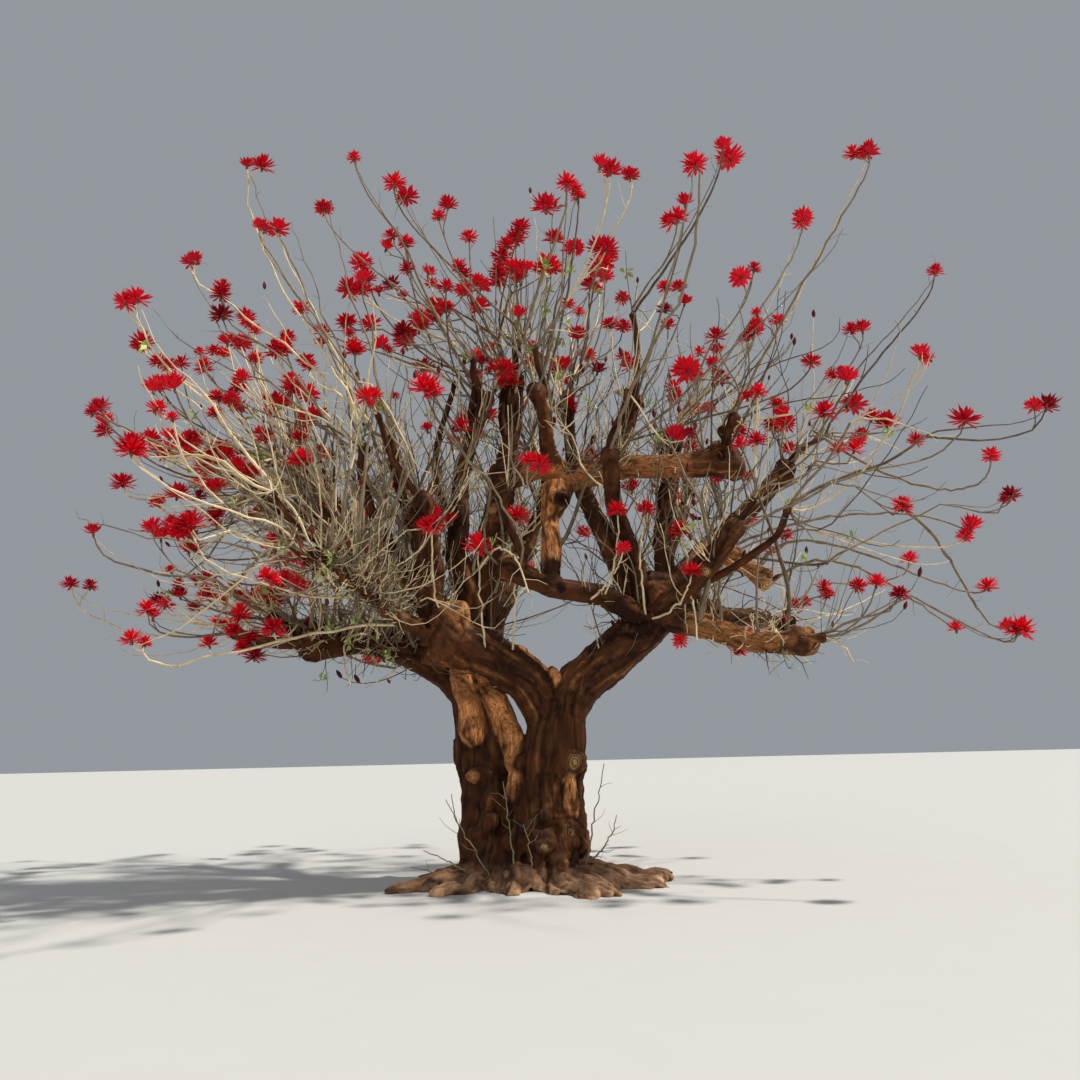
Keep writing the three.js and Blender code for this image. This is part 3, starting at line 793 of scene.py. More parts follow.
class CentreLines:
    """The middle lines of every bough, found from their solids."""

    # How thick the shells round a bough's end are, and how far from it its girth is taken.
    STEP = 0.22
    END_ZONE = 0.3

    # How thick the slice is whose middle is a bough's end, and how few corners make no shell.
    END_SLICE = 0.12
    FEWEST = 4

    # A bough's middle line keeps this much more than the nearest corner's distance as its radius.
    RADIUS_MARGIN = 0.02

    def __init__(self):
        self.lines = {}
        self.girth = {}
        carried = {bough: mass for side in CROWN.values() for mass, bough in side.items()}
        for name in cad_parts:
            if name == "trunk" or name.startswith("crown"):
                continue
            corners, _ = node_arrays(name)
            middle = corners.mean(0)
            outward = middle
            if name in carried:
                outward = node_arrays(carried[name])[0].mean(0) - middle
            self.lines[name] = self.trace(corners, outward)
            end, before = self.lines[name][0][:2]
            axis = unit(end - before)
            near = corners[np.linalg.norm(corners - end, axis=1) < self.END_ZONE]
            near = near if len(near) else corners
            off = (near - end) - ((near - end) @ axis)[:, None] * axis
            self.girth[name] = float(np.median(np.linalg.norm(off, axis=1)))

    def trace(self, corners, outward):
        """Points and radii from a bough's end back to its start, by shells round its end."""
        ahead = corners @ unit(outward)
        end = corners[ahead > ahead.max() - self.END_SLICE].mean(0)
        away = np.linalg.norm(corners - end, axis=1)
        shells = max(2, int(math.ceil(away.max() / self.STEP / 2)))
        edges = np.linspace(0, away.max() + 1e-6, shells + 1)
        points, radii = [end], []
        for low, high in zip(edges, edges[1:]):
            chosen = corners[(away >= low) & (away < high)]
            if len(chosen) < self.FEWEST:
                continue
            centre = chosen.mean(0)
            if low > 0:
                points.append(centre)
            radii.append(np.linalg.norm(chosen - centre, axis=1).min() + self.RADIUS_MARGIN)
        radii = radii[: len(points)] + [radii[-1]] * (len(points) - len(radii))
        return np.array(points), np.array(radii)

    def point(self, bough, share):
        """So many points back from a bough's end: its middle there, the way out to the end and its radius."""
        line, radii = self.lines[bough]
        low = int(share)
        middle = line[low] + (line[low + 1] - line[low]) * (share - low)
        return middle, unit(line[low] - line[low + 1]), radii[low]


wood = CentreLines()


def wood_course(points):
    """The way the wood runs at each point, and places that lie closer together along the wood."""
    spokes = [
        [(reach * math.cos(turn), reach * math.sin(turn), height) for reach, height in ROOT_COURSE]
        for turn in np.linspace(0, 2 * math.pi, ROOT_SPOKES, endpoint=False)
    ]
    boughs = [line[::-1] for line, _ in wood.lines.values()]
    nodes, directions, lengths_at = [], [], []
    for line in [np.array(line) for line in [*LEADER_LINES, *spokes]] + boughs:
        marks = path_marks(line)
        samples = np.linspace(0, marks[-1], max(3, int(marks[-1] / AXIS_STEP)))
        places = path_points(line, marks, samples)
        nodes.append(places)
        directions.append(units(np.gradient(places, axis=0)))
        lengths_at.append(samples)
    nodes = np.vstack(nodes)
    directions = np.vstack(directions)
    lengths_at = np.concatenate(lengths_at)
    along = np.zeros_like(points)
    nearest = np.zeros(len(points), np.int64)
    for start in range(0, len(points), AXIS_BLOCK):
        block = slice(start, start + AXIS_BLOCK)
        gaps = (points[block] ** 2).sum(1)[:, None] + (nodes**2).sum(1)[None, :] - 2 * points[block] @ nodes.T
        weights = 1 / (np.maximum(gaps, 0) + AXIS_SOFTNESS**2) ** 3
        nearest[block] = gaps.argmin(1)
        agree = np.sign(directions[nearest[block]] @ directions.T)
        along[block] = (weights * agree) @ directions
    along = units(along)
    off = points - nodes[nearest]
    onward = (off * along).sum(1)
    shortened = (lengths_at[nearest] + onward) * GRAIN_SHARE
    return along, off + along * (shortened - onward)[:, None]


def streaks(points, along, cell, reach, seed):
    """Noise that is drawn out along a direction, mostly from -1 to 1."""
    total = np.zeros(len(points))
    for step in np.linspace(-1, 1, STREAK_SAMPLES):
        total += noise((points + along * reach * step) / cell, seed) * (1 - 0.6 * abs(step))
    return np.clip(total / (2 * total.std()), -1.2, 1.2)


# How far the solids swell before they are fused, as a share of the grain, and the strength of the smoothing
# that takes it off again.
SWELL_SHARE = 0.25
SMOOTHING = 0.5

# How uneven a ball is and how large its unevenness is, the first seed of each kind of ball, and the seed of
# the lumps on the trunk.
BALL_UNEVENNESS = 0.22
BALL_LUMPS = 1.6
KNUCKLE_SEED = 1
BURL_SEED = 30
STUB_SEED = 50
BOUGH_LUMP_SEED = 60
TRUNK_SEED = 21

# The knuckle at a bough's end, all against the bough's radius: its girth, its lumps, and how far out and back
# they sit.
KNUCKLE_GIRTH = 1.15
KNUCKLE_LUMPS = (0.5, 0.75)
KNUCKLE_REACH = 0.75
KNUCKLE_DEPTH = 0.3

# The balls that make a strand, against its half-width: how thick they are and how long.
STRAND_SWELLS = (0.85, 1.1)
STRAND_LENGTH = 1.6


def worked_wood(name, nodes, grain, smoothing):
    """The named solids and what stands out on them, fused into one even skin of four-cornered faces."""
    pile = Pile()
    for node in nodes:
        corners, triangles = welded(*node_arrays(node))
        pile.add(corners + corner_normals(corners, triangles) * grain * SWELL_SHARE, triangles)
        lumps = []
        if node == "trunk":
            lumps = trunk_lumps(corners, triangles)
        elif node not in SAWN_OFF:
            lumps = knuckles(node)
        for k, (centre, radius) in enumerate(BOUGH_LUMPS.get(node, [])):
            lumps.append(round_ball(centre, radius, BOUGH_LUMP_SEED + k))
        for lump in lumps:
            pile.add(*lump)
    corners, triangles, _ = pile.joined()
    blank = add_mesh(name + "_blank", corners, triangles, [])
    remesh = blank.modifiers.new("skin", "REMESH")
    remesh.mode = "VOXEL"
    remesh.voxel_size = grain
    remesh.adaptivity = 0
    ease = blank.modifiers.new("ease", "SMOOTH")
    ease.factor = SMOOTHING
    ease.iterations = smoothing
    graph = bpy.context.evaluated_depsgraph_get()
    skin = bpy.data.meshes.new_from_object(blank.evaluated_get(graph))
    corners = corner_places(skin)
    faces = np.empty(len(skin.polygons) * 4, np.int32)
    skin.loops.foreach_get("vertex_index", faces)
    bpy.data.objects.remove(blank)
    bpy.data.meshes.remove(skin)
    return corners, faces.reshape(-1, 4)


def ball(centre, radii, axis, seed):
    """An uneven closed ball whose third radius lies along axis."""
    shape = bmesh.new()
    bmesh.ops.create_icosphere(shape, subdivisions=3, radius=1)
    corners = np.array([vertex.co[:] for vertex in shape.verts])
    triangles = np.array([[vertex.index for vertex in face.verts] for face in shape.faces])
    shape.free()
    lumps = 1 + BALL_UNEVENNESS * noise(corners * BALL_LUMPS + seed * 7.3, seed)
    corners = corners * lumps[:, None] * np.array(radii)
    return corners @ np.array(turn_onto(axis)).T + np.array(centre), triangles


def round_ball(centre, radius, seed):
    """An uneven ball that is as long as it is wide."""
    return ball(centre, (radius, radius, radius), UP, seed)


def knuckles(bough):
    """The swollen end of a pollarded bough, as a few lumpy balls."""
    line, _ = wood.lines[bough]
    rng = np.random.default_rng(len(bough) * 31 + ord(bough[0]))
    axis = unit(line[0] - line[1])
    size = wood.girth[bough]
    solids = [ball(line[0], (size * KNUCKLE_GIRTH, size * KNUCKLE_GIRTH, size), axis, KNUCKLE_SEED)]
    for k in range(3):
        side = unit(rng.normal(0, 1, 3) + UP * 0.4)
        lump = size * rng.uniform(*KNUCKLE_LUMPS)
        centre = line[0] + side * size * KNUCKLE_REACH - axis * size * KNUCKLE_DEPTH
        solids.append(round_ball(centre, lump, KNUCKLE_SEED + 1 + k))
    return solids


def trunk_lumps(corners, triangles):
    """What stands out on the trunk: strands of wood, burls, stubs of branches and lumps of root."""
    rng = np.random.default_rng(TRUNK_SEED)
    solids = []
    for path, width in STRANDS:
        solids += strand(rng, np.array(path), width)
    for k, (centre, radius) in enumerate(BURLS):
        solids.append(round_ball(centre, radius, BURL_SEED + k))
    for foot, end, radius in STUBS:
        solids.append(stub(np.array(foot), np.array(end), radius))
    return solids + root_lumps(rng, corners, triangles)


def strand(rng, path, width):
    """Long balls in a row along a strand of wood."""
    marks = path_marks(path)
    centres = path_points(path, marks, np.arange(0, marks[-1], width))
    solids = []
    for k, (centre, heading) in enumerate(zip(centres, units(np.gradient(centres, axis=0)))):
        swell = width * rng.uniform(*STRAND_SWELLS)
        solids.append(ball(centre, (swell, swell, width * STRAND_LENGTH), heading, k))
    return solids


def stub(foot, end, radius):
    """What is left of a branch, cut flat at its end."""
    length = float(np.linalg.norm(end - foot))
    axis = unit(end - foot)
    corners, triangles = ball((foot + end) / 2, (radius, radius, length), axis, STUB_SEED)
    past_cut = np.maximum((corners - end) @ axis, 0)
    return corners - past_cut[:, None] * axis, triangles


def root_lumps(rng, corners, triangles):
    """Low lumps strewn over the trunk's spreading foot."""
    middles = corners[triangles].mean(1)
    outside = np.hypot(middles[:, 0], middles[:, 1]) > ROOT_LUMP_START
    low = middles[(middles[:, 2] < ROOT_LUMP_CEILING) & outside]
    solids = []
    for place in low[rng.choice(len(low), ROOT_LUMPS)]:
        size = rng.uniform(*ROOT_LUMP_SIZES)
        centre = place + rng.normal(0, 0.05, 3) * np.array([1, 1, 0])
        centre[2] = min(centre[2], ROOT_LUMP_HEIGHT)
        outward = unit(np.array([centre[0], centre[1], 0.0]))
        lump, lump_triangles = ball(centre, (size, size, size * ROOT_LUMP_LENGTH), outward, int(size * 1e4))
        lump[:, 2] = centre[2] + (lump[:, 2] - centre[2]) * ROOT_LUMP_FLATNESS
        solids.append((lump, lump_triangles))
    return solids


# The relief of full-sized bark, each kind as its width, how far it is drawn out, and its seed. Wrinkles are
# drawn out across the wood, and the others along it.
COLUMNS = (0.21, 0.55, 11)
PLATES = (0.085, 0.34, 17)
CRACKS = (0.046, 0.16, 23)
WRINKLES = (0.034, 0.12, 37)
CREASES = (0.105, 0.40, 67)

# How far round a scar the skin changes, in its own radii.
SCAR_REACH = 2.4

# How a strand's painted sunlight and the painted shade beside it fade outwards from its middle, and how dark
# that shade is.
SUNLIT_FALL = (3.0, 2.3)
BESIDE_FALL = (3.4, 1.9)
BESIDE_SHADE = 0.30


def relief(corners, along, kind, scale=1.0):
    """One kind of the bark's relief, from about -1 to 1."""
    width, reach, seed = kind
    return streaks(corners, along, width * scale, reach * scale, seed)


def ridged(values, sharpness):
    """Broad ridges with sharp furrows between them, from 0 to 1."""
    return np.clip(sharpness * np.abs(values), 0, 1)


def furrows(corners, along, around, depths, scale):
    """How far furrows, wrinkles and the roots' creases lift the skin, and a tone that paints shade into its
    low places.
    """
    furrow_depth, wrinkle_depth = depths
    columns = relief(corners, along, COLUMNS, scale)
    height = 0.6 * ridged(relief(corners, along, PLATES, scale), 2.2)
    height = height + 0.4 * ridged(relief(corners, along, CRACKS, scale), 2.4)
    wrinkle = relief(corners, around, WRINKLES)
    bands = np.clip(noise(corners / 0.5, 41) * 2.2 + 0.5, 0, 1)
    swell = noise(corners / (0.42 * scale), 53) + 0.5 * noise(corners / (0.2 * scale), 59)
    rise = furrow_depth * (0.9 * (height - 0.75) + 0.8 * columns + 0.6 * swell)
    rise += wrinkle_depth * wrinkle * bands
    # The tone follows the relief: painted shade in the furrows and low places, paler where the skin stands
    # out.
    tone = 0.72 * height + 0.26 * columns + 0.14 * swell + 0.14 * wrinkle * bands - 0.05
    low = np.clip(1.3 - corners[:, 2] / ROOT_HEIGHT, 0, 1)
    creases = ridged(relief(corners, along, CREASES), 2.0)
    rise += low * ROOT_CREASES * (creases - 0.8)
    # Painted shade in the roots' creases.
    tone -= low * 0.7 * (1 - creases)
    return rise, tone


def mark_scars(corners, scars, rise, tone, bare, rings):
    """Works branch scars into the skin, and tells from 0 to 1 where they are hollow."""
    hollow = np.zeros(len(corners))
    for centre, radius, rim, tallness, healed in scars:
        gap = np.linalg.norm((corners - np.array(centre)) / (1, 1, tallness), axis=1)
        near = np.flatnonzero(gap < SCAR_REACH * radius)
        places = corners[near] / radius
        off = gap[near] / radius * (1 + 0.35 * noise(places / 0.7, 71) + 0.14 * noise(places / 0.24, 72))
        rise[near] *= np.clip(off - 0.5, 0.15, 1)
        for place, width, out, shade in SCAR_RINGS if healed else (SCAR_RINGS[0], HOLE_RING):
            ring = np.exp(-(((off - place) / width) ** 2))
            rise[near] += rim * out * ring
            # Painted light on the raised rings, painted shade in the grooves and holes.
            tone[near] += shade * ring
        if healed:
            rings[near] = off
            worn = np.clip(0.8 + 0.9 * noise(places / 0.6, 74), 0, 1)
            bare[near] = np.maximum(bare[near], worn * np.exp(-((off / 0.64) ** 4)))
        else:
            hollow[near] = np.maximum(hollow[near], np.exp(-((off / 0.6) ** 4)))
    return hollow


def mark_cuts(corners, cuts, rise, bare, rings):
    """Makes the skin smooth, bare and ringed on the sawn ends."""
    for centre, radius in cuts:
        off = np.linalg.norm(corners - np.array(centre), axis=1) / radius
        worn = np.clip(0.5 + 1.3 * noise(corners / (0.9 * radius), 79), 0, 1)
        bare[:] = np.maximum(bare, worn * np.exp(-((off / 1.15) ** 6)))
        rings[:] = np.where(off < 1.5, off, rings)
        rise[off < 1.3] *= 0.2


def painted_sun_and_shade(corners):
    """From 0 to 1, where the bark is pale orange, which on the strands and some boughs is painted sunlight,
    and where painted shade darkens it beside the strands.
    """
    young = [(path, width, 1.0, BESIDE_SHADE) for path, width in STRANDS[:SUNLIT_STRANDS]]
    for bough, (left, most) in SUNLIT_BOUGHS.items():
        line, radii = wood.lines[bough]
        young.append((line[left : max(left + 2, len(line) - 1)], float(np.median(radii)) * 1.25, most, 0.0))
    young += [((foot, end), radius * 1.1, FRESH_STUBS, 0.0) for foot, end, radius in STUBS]
    fresh = np.zeros(len(corners))
    beside = np.zeros(len(corners))
    for path, width, most, edge in young:
        share = np.linspace(0, len(path) - 1, FRESH_SAMPLES)
        for place in path_points(np.array(path), np.arange(len(path)), share):
            off = np.linalg.norm(corners - place, axis=1) / width
            fresh = np.maximum(fresh, most * np.clip(SUNLIT_FALL[0] - SUNLIT_FALL[1] * off, 0, 1))
            beside = np.maximum(beside, edge * np.clip(BESIDE_FALL[0] - BESIDE_FALL[1] * off, 0, 1))
    return fresh, beside


def bark_relief(corners, faces, along, depths, scars=(), cuts=(), scale=1.0):
    """The skin with its bark's relief, and from 0 to 1 what the bark's material reads at each corner."""
    normals = corner_normals(corners, faces)
    around = units(np.cross(normals, along))
    rise, tone = furrows(corners, along, around, depths, scale)
    rings = np.zeros(len(corners))
    bare = np.zeros(len(corners))
    hollow = mark_scars(corners, scars, rise, tone, bare, rings)
    mark_cuts(corners, cuts, rise, bare, rings)
    fresh, beside = painted_sun_and_shade(corners)
    # Painted sunlight lightens the tone on the strands and some boughs, and painted shade darkens it beside
    # the strands.
    tone += 0.25 * fresh - beside * (1 - fresh)
    fresh *= 1 - hollow
    moved = corners + normals * rise[:, None]
    moved[:, 2] = np.maximum(moved[:, 2], 0)
    return moved, {
        "bark_height": np.clip(tone, 0, 1),
        "bark_bare": bare,
        "bark_fresh": fresh,
        "bark_rings": rings,
    }


# A strewn scar's radius, how far its rim stands out, how tall it is for its width, and how many healed over.
STREWN_RADII = (0.04, 0.08)
STREWN_RIMS = (0.006, 0.016)
STREWN_TALLNESS = (0.8, 1.4)
STREWN_HEALED = 0.4


def bough_scars(corners, count, seed):
    """Branch scars strewn over the boughs."""
    rng = np.random.default_rng(seed)
    scars = []
    for place in corners[rng.choice(len(corners), count, replace=False)]:
        radius, rim, tallness = (rng.uniform(*span) for span in (STREWN_RADII, STREWN_RIMS, STREWN_TALLNESS))
        scars.append((place, radius, rim, tallness, rng.random() < STREWN_HEALED))
    return scars


# How large the marks in the bark's colour are, the streaks and fissures across the wood only.
PATCH_SIZE = 0.45
SMUDGE_SIZE = 0.11
FLECK_SIZE = 0.016
STREAK_SIZE = 0.045
FISSURE_SIZE = 0.014
YOUNG_SIZE = 0.10
RING_WAVE_SIZE = 0.07

# How deep the material's own relief is.
BARK_BUMP = 0.018


def cut_wood(paint, settings, strips):
    """Bare wood in a healed scar or on a cut, with dark rings."""
    wave = paint.attribute("bark_rings", "Fac") * RING_TURNS + paint.noise(RING_WAVE_SIZE, 3.0) * 9
    swirl = paint.node("ShaderNodeMath", {"operation": "SINE"}, {0: wave})
    dry = paint.blend(settings.cut_colour, settings.ridge_colour, paint.ramp(strips, 0.4, 0.75) * 0.45)
    return paint.blend(settings.dark_and_shade_colour, dry, 0.2 + 0.8 * paint.ramp(swirl * 0.5 + 0.5, 0.15, 0.65))


def root_share(paint, patches, depth):
    """The roots' pale colour, partly their own and partly painted sunlight: most on their ridges near the
    ground, in smudges.
    """
    level = paint.upward(paint.position())
    low = paint.ramp(1 - level * 2.0 - patches * 0.45, 0.28, 0.80) * (0.25 + 0.75 * depth)
    smudges = paint.ramp(paint.noise(SMUDGE_SIZE, 3.0), 0.38, 0.60)
    return low * (0.4 + 0.6 * smudges)


def bark_material(settings):
    """Red-brown bark: painted shade in its furrows, orange on its ridges with painted sunlight on some
    strands and boughs, greyer on upper sides and pale where cut.
    """
    paint = Paint("coral_bark")
    height = paint.attribute("bark_height", "Fac")
    course = paint.attribute("bark_course", "Vector")
    strips = paint.noise(STREAK_SIZE, 6.0, course, 0.65)
    fissures = paint.noise(FISSURE_SIZE, 4.0, course, 0.6)
    patches = paint.noise(PATCH_SIZE, 3.0)
    flecks = paint.noise(FLECK_SIZE, 5.0)

    # Red ridges and furrows darkened with painted shade, with flakes of young bark between them.
    depth = paint.ramp(height + strips * 0.42 + fissures * 0.30 - 0.36, 0.05, 0.95)
    young = paint.ramp(paint.noise(YOUNG_SIZE, 2.0, course), 0.52, 0.66)
    cracked = paint.ramp(fissures, 0.44, 0.60) * 0.8
    flakes_and_sunlight = paint.blend(settings.young_and_sunlit_colour, settings.ridge_colour, cracked)
    ridge = paint.blend(settings.ridge_colour, flakes_and_sunlight, young * depth * 0.45)
    body = paint.blend(settings.dark_and_shade_colour, ridge, depth)

    # Weather on the upper sides, dark patches and red flecks.
    facing = paint.upward(paint.node("ShaderNodeNewGeometry", output="Normal"))
    upper = paint.ramp(facing * 0.6 + patches * 0.9, 0.62, 1.0)
    worn = paint.blend(body, settings.weathered_colour, upper * 0.5)
    tinted = paint.blend(worn, settings.dark_and_shade_colour, paint.ramp(patches, 0.42, 0.72) * 0.35)
    flecked = paint.blend(tinted, settings.ridge_colour, paint.ramp(flecks, 0.6, 0.8) * 0.3)

    # Painted sunlight on the strands and some boughs, pale roots partly painted sunlit on their ridges, and
    # bare wood.
    raised = paint.ramp(depth + fissures - 0.4, 0.28, 0.75)
    fresh = paint.attribute("bark_fresh", "Fac") * (0.12 + 0.88 * raised)
    stranded = paint.blend(flecked, flakes_and_sunlight, fresh)
    rooted = paint.blend(stranded, settings.root_and_sunlit_colour, root_share(paint, patches, depth))
    cut = cut_wood(paint, settings, strips)
    relief_height = strips * 0.5 + fissures * 0.35 + flecks * 0.15
    return paint.finish({
        "Base Color": paint.blend(rooted, cut, paint.attribute("bark_bare", "Fac")),
        "Roughness": 0.72 + 0.2 * flecks,
        "Normal": paint.bump(relief_height, BARK_BUMP, 1.0),
        "Specular IOR Level": 0.12,
    })


def add_bark(name, corners, faces, values, course, material, nodes=()):
    """A piece of bark that holds at its corners what the bark's material reads."""
    piece = add_mesh(name, corners, faces, [material])
    for key, value in values.items():
        stored = piece.data.attributes.new(key, "FLOAT", "POINT")
        stored.data.foreach_set("value", value.astype(np.float32))
    stored = piece.data.attributes.new("bark_course", "FLOAT_VECTOR", "POINT")
    stored.data.foreach_set("vector", course.astype(np.float32).ravel())
    place_piece(piece, nodes)


# The pieces of bark: the nodes under each, how much its skin is smoothed and how deep its bark is.
BARK_PIECES = {
    "trunk_bark": (["trunk", *FORK_BOUGHS], 14, 1.0),
    "bough_bark": ([name for name in wood.lines if name not in FORK_BOUGHS], 9, 0.8),
}

# From what height scars are strewn over the fork's boughs, and how many there and on the other boughs, each
# with a seed.
FORK_HEIGHT = 1.9
FORK_SCARS = (16, 7)
STREWN_SCARS = (44, 9)

# How wide a stub's bare cut is against the stub.
CUT_SHARE = 0.75


class WoodPieces(bpy.types.Operator):
    """Build the trunk and the boughs with their bark."""

    bl_idname = "coral_tree.wood"
    bl_label = "Trunk and boughs"

    def execute(self, context):
        settings = context.scene.coral_bark
        material = bark_material(settings)
        for name, (nodes, smoothing, depth) in BARK_PIECES.items():
            grain = settings.grain if name == "trunk_bark" else settings.bough_grain
            corners, faces = worked_wood(name, nodes, grain, smoothing)
            if name == "trunk_bark":
                scars = SCARS + bough_scars(corners[corners[:, 2] > FORK_HEIGHT], *FORK_SCARS)
                cuts = [(end, radius * CUT_SHARE) for _, end, radius in STUBS]
            else:
                scars = [KNOTHOLE, *bough_scars(corners, *STREWN_SCARS)]
                cuts = [(wood.lines["sawn_limb"][0][0], wood.girth["sawn_limb"])]
            along, course = wood_course(corners)
            depths = (settings.furrow_depth * depth, settings.wrinkle_depth * depth)
            corners, values = bark_relief(corners, faces, along, depths, scars, cuts)
            add_bark(name, corners, faces, values, course, material, nodes)
        return {"FINISHED"}


class Growth:
    """Shoots that fork towards their tips, and what stands on them."""

    # How far apart a curve's points lie, how far before its end it turns at most, how much it wanders, and
    # how much shoots arch upwards.
    POINT_GAP = 0.13
    HOOK = 0.26
    WANDER = 0.0225
    ARCH = 0.32

    # How far a curve keeps to its heading at its start and end, as shares of its length.
    START_HANDLE = 0.38
    END_HANDLE = 0.36

    # How fast a shoot's radius grows with the number of tips beyond it.
    CROWDING = 0.42

    # How much a head's size varies, and its limits.
    HEAD_SPREAD = 0.18
    HEAD_SIZES = (0.62, 1.45)

    # How likely a bare tip bears a bud, any tip a place for leaves, and a thick shoot grey bark for pale.
    BUD_CHANCE = 0.1
    KNOT_CHANCE = 0.3
    GREY_CHANCE = 0.8

    # How far along its parent a shoot forks, and how far a dead twig reaches, with its radii.
    FORK_SHARES = (0.3, 0.62)
    TWIG_REACHES = (0.05, 0.28)
    TWIG_RADII = (0.0036, 0.0016)

    # A shoot thicker than the first is seldom pale, and a limb thicker than the second has the boughs' bark.
    PALE_LIMIT = 0.0135
    BARK_LIMIT = 0.017

    # How stout shoots are against a plain one, by where they grow.
    VIGOURS = {
        "bough": (0.75, 1.15),
        "knob": (0.7, 1.05),
        "thin": (0.5, 0.8),
        "upright": (1.1, 1.6),
    }

    # How stout the last stretch to a tip is, and how stout the tip itself, both against a plain shoot's.
    STEMS = {"head": (1.3, 1.15), "bare": (0.95, 0.5)}

    # The knob under a head: how far down the stem its rows lie, and their radii.
    COLLAR_STEPS = (0.040, 0.018, -0.006)
    COLLAR_RADII = (0.008, 0.015, 0.011)

    # A small knob's profile beyond the end of its limb, both in radii of the limb.
    KNOB_STEPS = (0.7, 1.5, 2.4, 3.0)
    KNOB_RADII = (1.2, 1.35, 1.15, 0.02)

    def __init__(self, settings, side):
        self.settings = settings
        self.side = side
        # Each mass and each bough brings a generator of its own.
        self.rng = None
        self.vigour = 1.0
        self.curl = CURLS[side]
        self.shoots = []
        self.limbs = []
        self.heads = []
        self.buds = []
        self.knots = []

    def jitter(self, size):
        """A random step of about that size."""
        return self.rng.normal(0, size, 3)

    def set_vigour(self, kind):
        """How stout the next shoot is."""
        self.vigour = float(self.rng.uniform(*self.VIGOURS[kind]))

    def thickness(self, tips, left):
        """A shoot's radius with so many tips beyond it and so far left to the nearest."""
        return (self.settings.tip_radius + self.settings.taper * left) * tips**self.CROWDING * self.vigour

    def arc(self, start, heading, end, arrival, droop):
        """A wandering curve that leaves start along heading, sags, and arrives at end along arrival."""
        length = float(np.linalg.norm(end - start))
        count = max(4, int(length / self.POINT_GAP) + 1)
        share = np.linspace(0, 1, count)[:, None]
        out = start + heading * length * self.START_HANDLE
        back = end - arrival * min(length * self.END_HANDLE, self.HOOK)
        curve = (
            (1 - share) ** 3 * start
            + 3 * (1 - share) ** 2 * share * out
            + 3 * (1 - share) * share**2 * back
            + share**3 * end
        )
        level = float(np.linalg.norm((end - start)[:2])) / max(length, 1e-6)
        walk = np.cumsum(self.rng.normal(0, 1, curve.shape), axis=0)
        walk -= walk[0]
        wander = (walk - share * walk[-1]) * self.WANDER * self.curl * length / count**0.5
        return curve + wander - UP * droop * level * length * 4 * share * (1 - share)

    def add(self, points, start_radius, end_radius, tone):
        """One tapering stretch of shoot."""
        share = np.linspace(0, 1, len(points))
        if tone == PALE and start_radius > self.PALE_LIMIT and self.rng.random() < self.GREY_CHANCE:
            tone = GREY
        self.shoots.append((points, start_radius + (end_radius - start_radius) * share, tone))

    def tone(self):
        """Pale, grey or brown bark, by chance."""
        pale = PALE_SHARES[self.side]
        return int(self.rng.choice(3, p=[pale, (1 - pale) * 0.6, (1 - pale) * 0.4]))

    def add_limb(self, start, heading, end, radius):
        """A stout crooked shoot that ends in a small knob. Gives the knob's middle."""
        away = unit(end - start)
        points = self.arc(start, heading, end, unit(away + UP * 0.3 + self.jitter(0.4)), 0.05)
        onward = unit(points[-1] - points[-2])
        knob = points[-1] + np.outer(self.KNOB_STEPS, onward) * radius
        radii = np.concatenate([np.linspace(1.3, 1.0, len(points)), self.KNOB_RADII]) * radius
        if radius > self.BARK_LIMIT:
            self.limbs.append((np.vstack([points, knob]), radii))
        else:
            self.shoots.append((np.vstack([points, knob]), radii, int(self.rng.choice([GREY, BROWN]))))
        return knob[1]

    def reach_tip(self, start, heading, tip, kind, tone):
        """The last stretch to one tip, which turns up at its end."""
        away = unit(tip - start)
        arrival = unit(away * 0.30 + UP + self.jitter(0.15))
        if kind == "bare":
            arrival = unit(away * 0.8 + UP * 0.5 + self.jitter(0.25))
        length = float(np.linalg.norm(tip - start))
        points = self.arc(start, heading, tip, arrival, 0.08)
        stoutness, tip_share = self.STEMS[kind]
        self.add(points, self.thickness(1, length) * stoutness, self.settings.tip_radius * tip_share, tone)
        axis = unit(unit(points[-1] - points[-2]) * 0.6 + UP * 0.6)
        if kind == "head":
            self.add_head(points[-1], axis)
            if self.rng.random() < self.settings.cluster_share:
                self.add_companion(points, tone)
        elif self.rng.random() < self.BUD_CHANCE:
            self.buds.append((points[-1], axis, float(self.rng.uniform(0.7, 1.3))))
        if self.rng.random() < self.KNOT_CHANCE:
            self.knots.append((points[int(len(points) * 0.6)], unit(self.jitter(1.0) + UP)))

    def add_head(self, place, axis):
        """A flower head and the small knob under it."""
        size = float(np.clip(self.rng.normal(1.0, self.HEAD_SPREAD), *self.HEAD_SIZES))
        self.heads.append((place, axis, size))
        collar = place - np.outer(self.COLLAR_STEPS, axis)
        self.shoots.append((collar, np.array(self.COLLAR_RADII), BROWN))

    def add_companion(self, points, tone):
        """A second head on a short side shoot near a tip."""
        tip = points[-1] + self.jitter(0.12) * (1, 1, 0.4) - UP * 0.03
        side_shoot = self.arc(points[-3], unit(points[-2] - points[-3]), tip, UP, 0.0)
        radius = self.settings.tip_radius
        self.add(side_shoot, radius, radius * 0.8, tone)
        self.add_head(tip, unit(UP + self.jitter(0.3)))

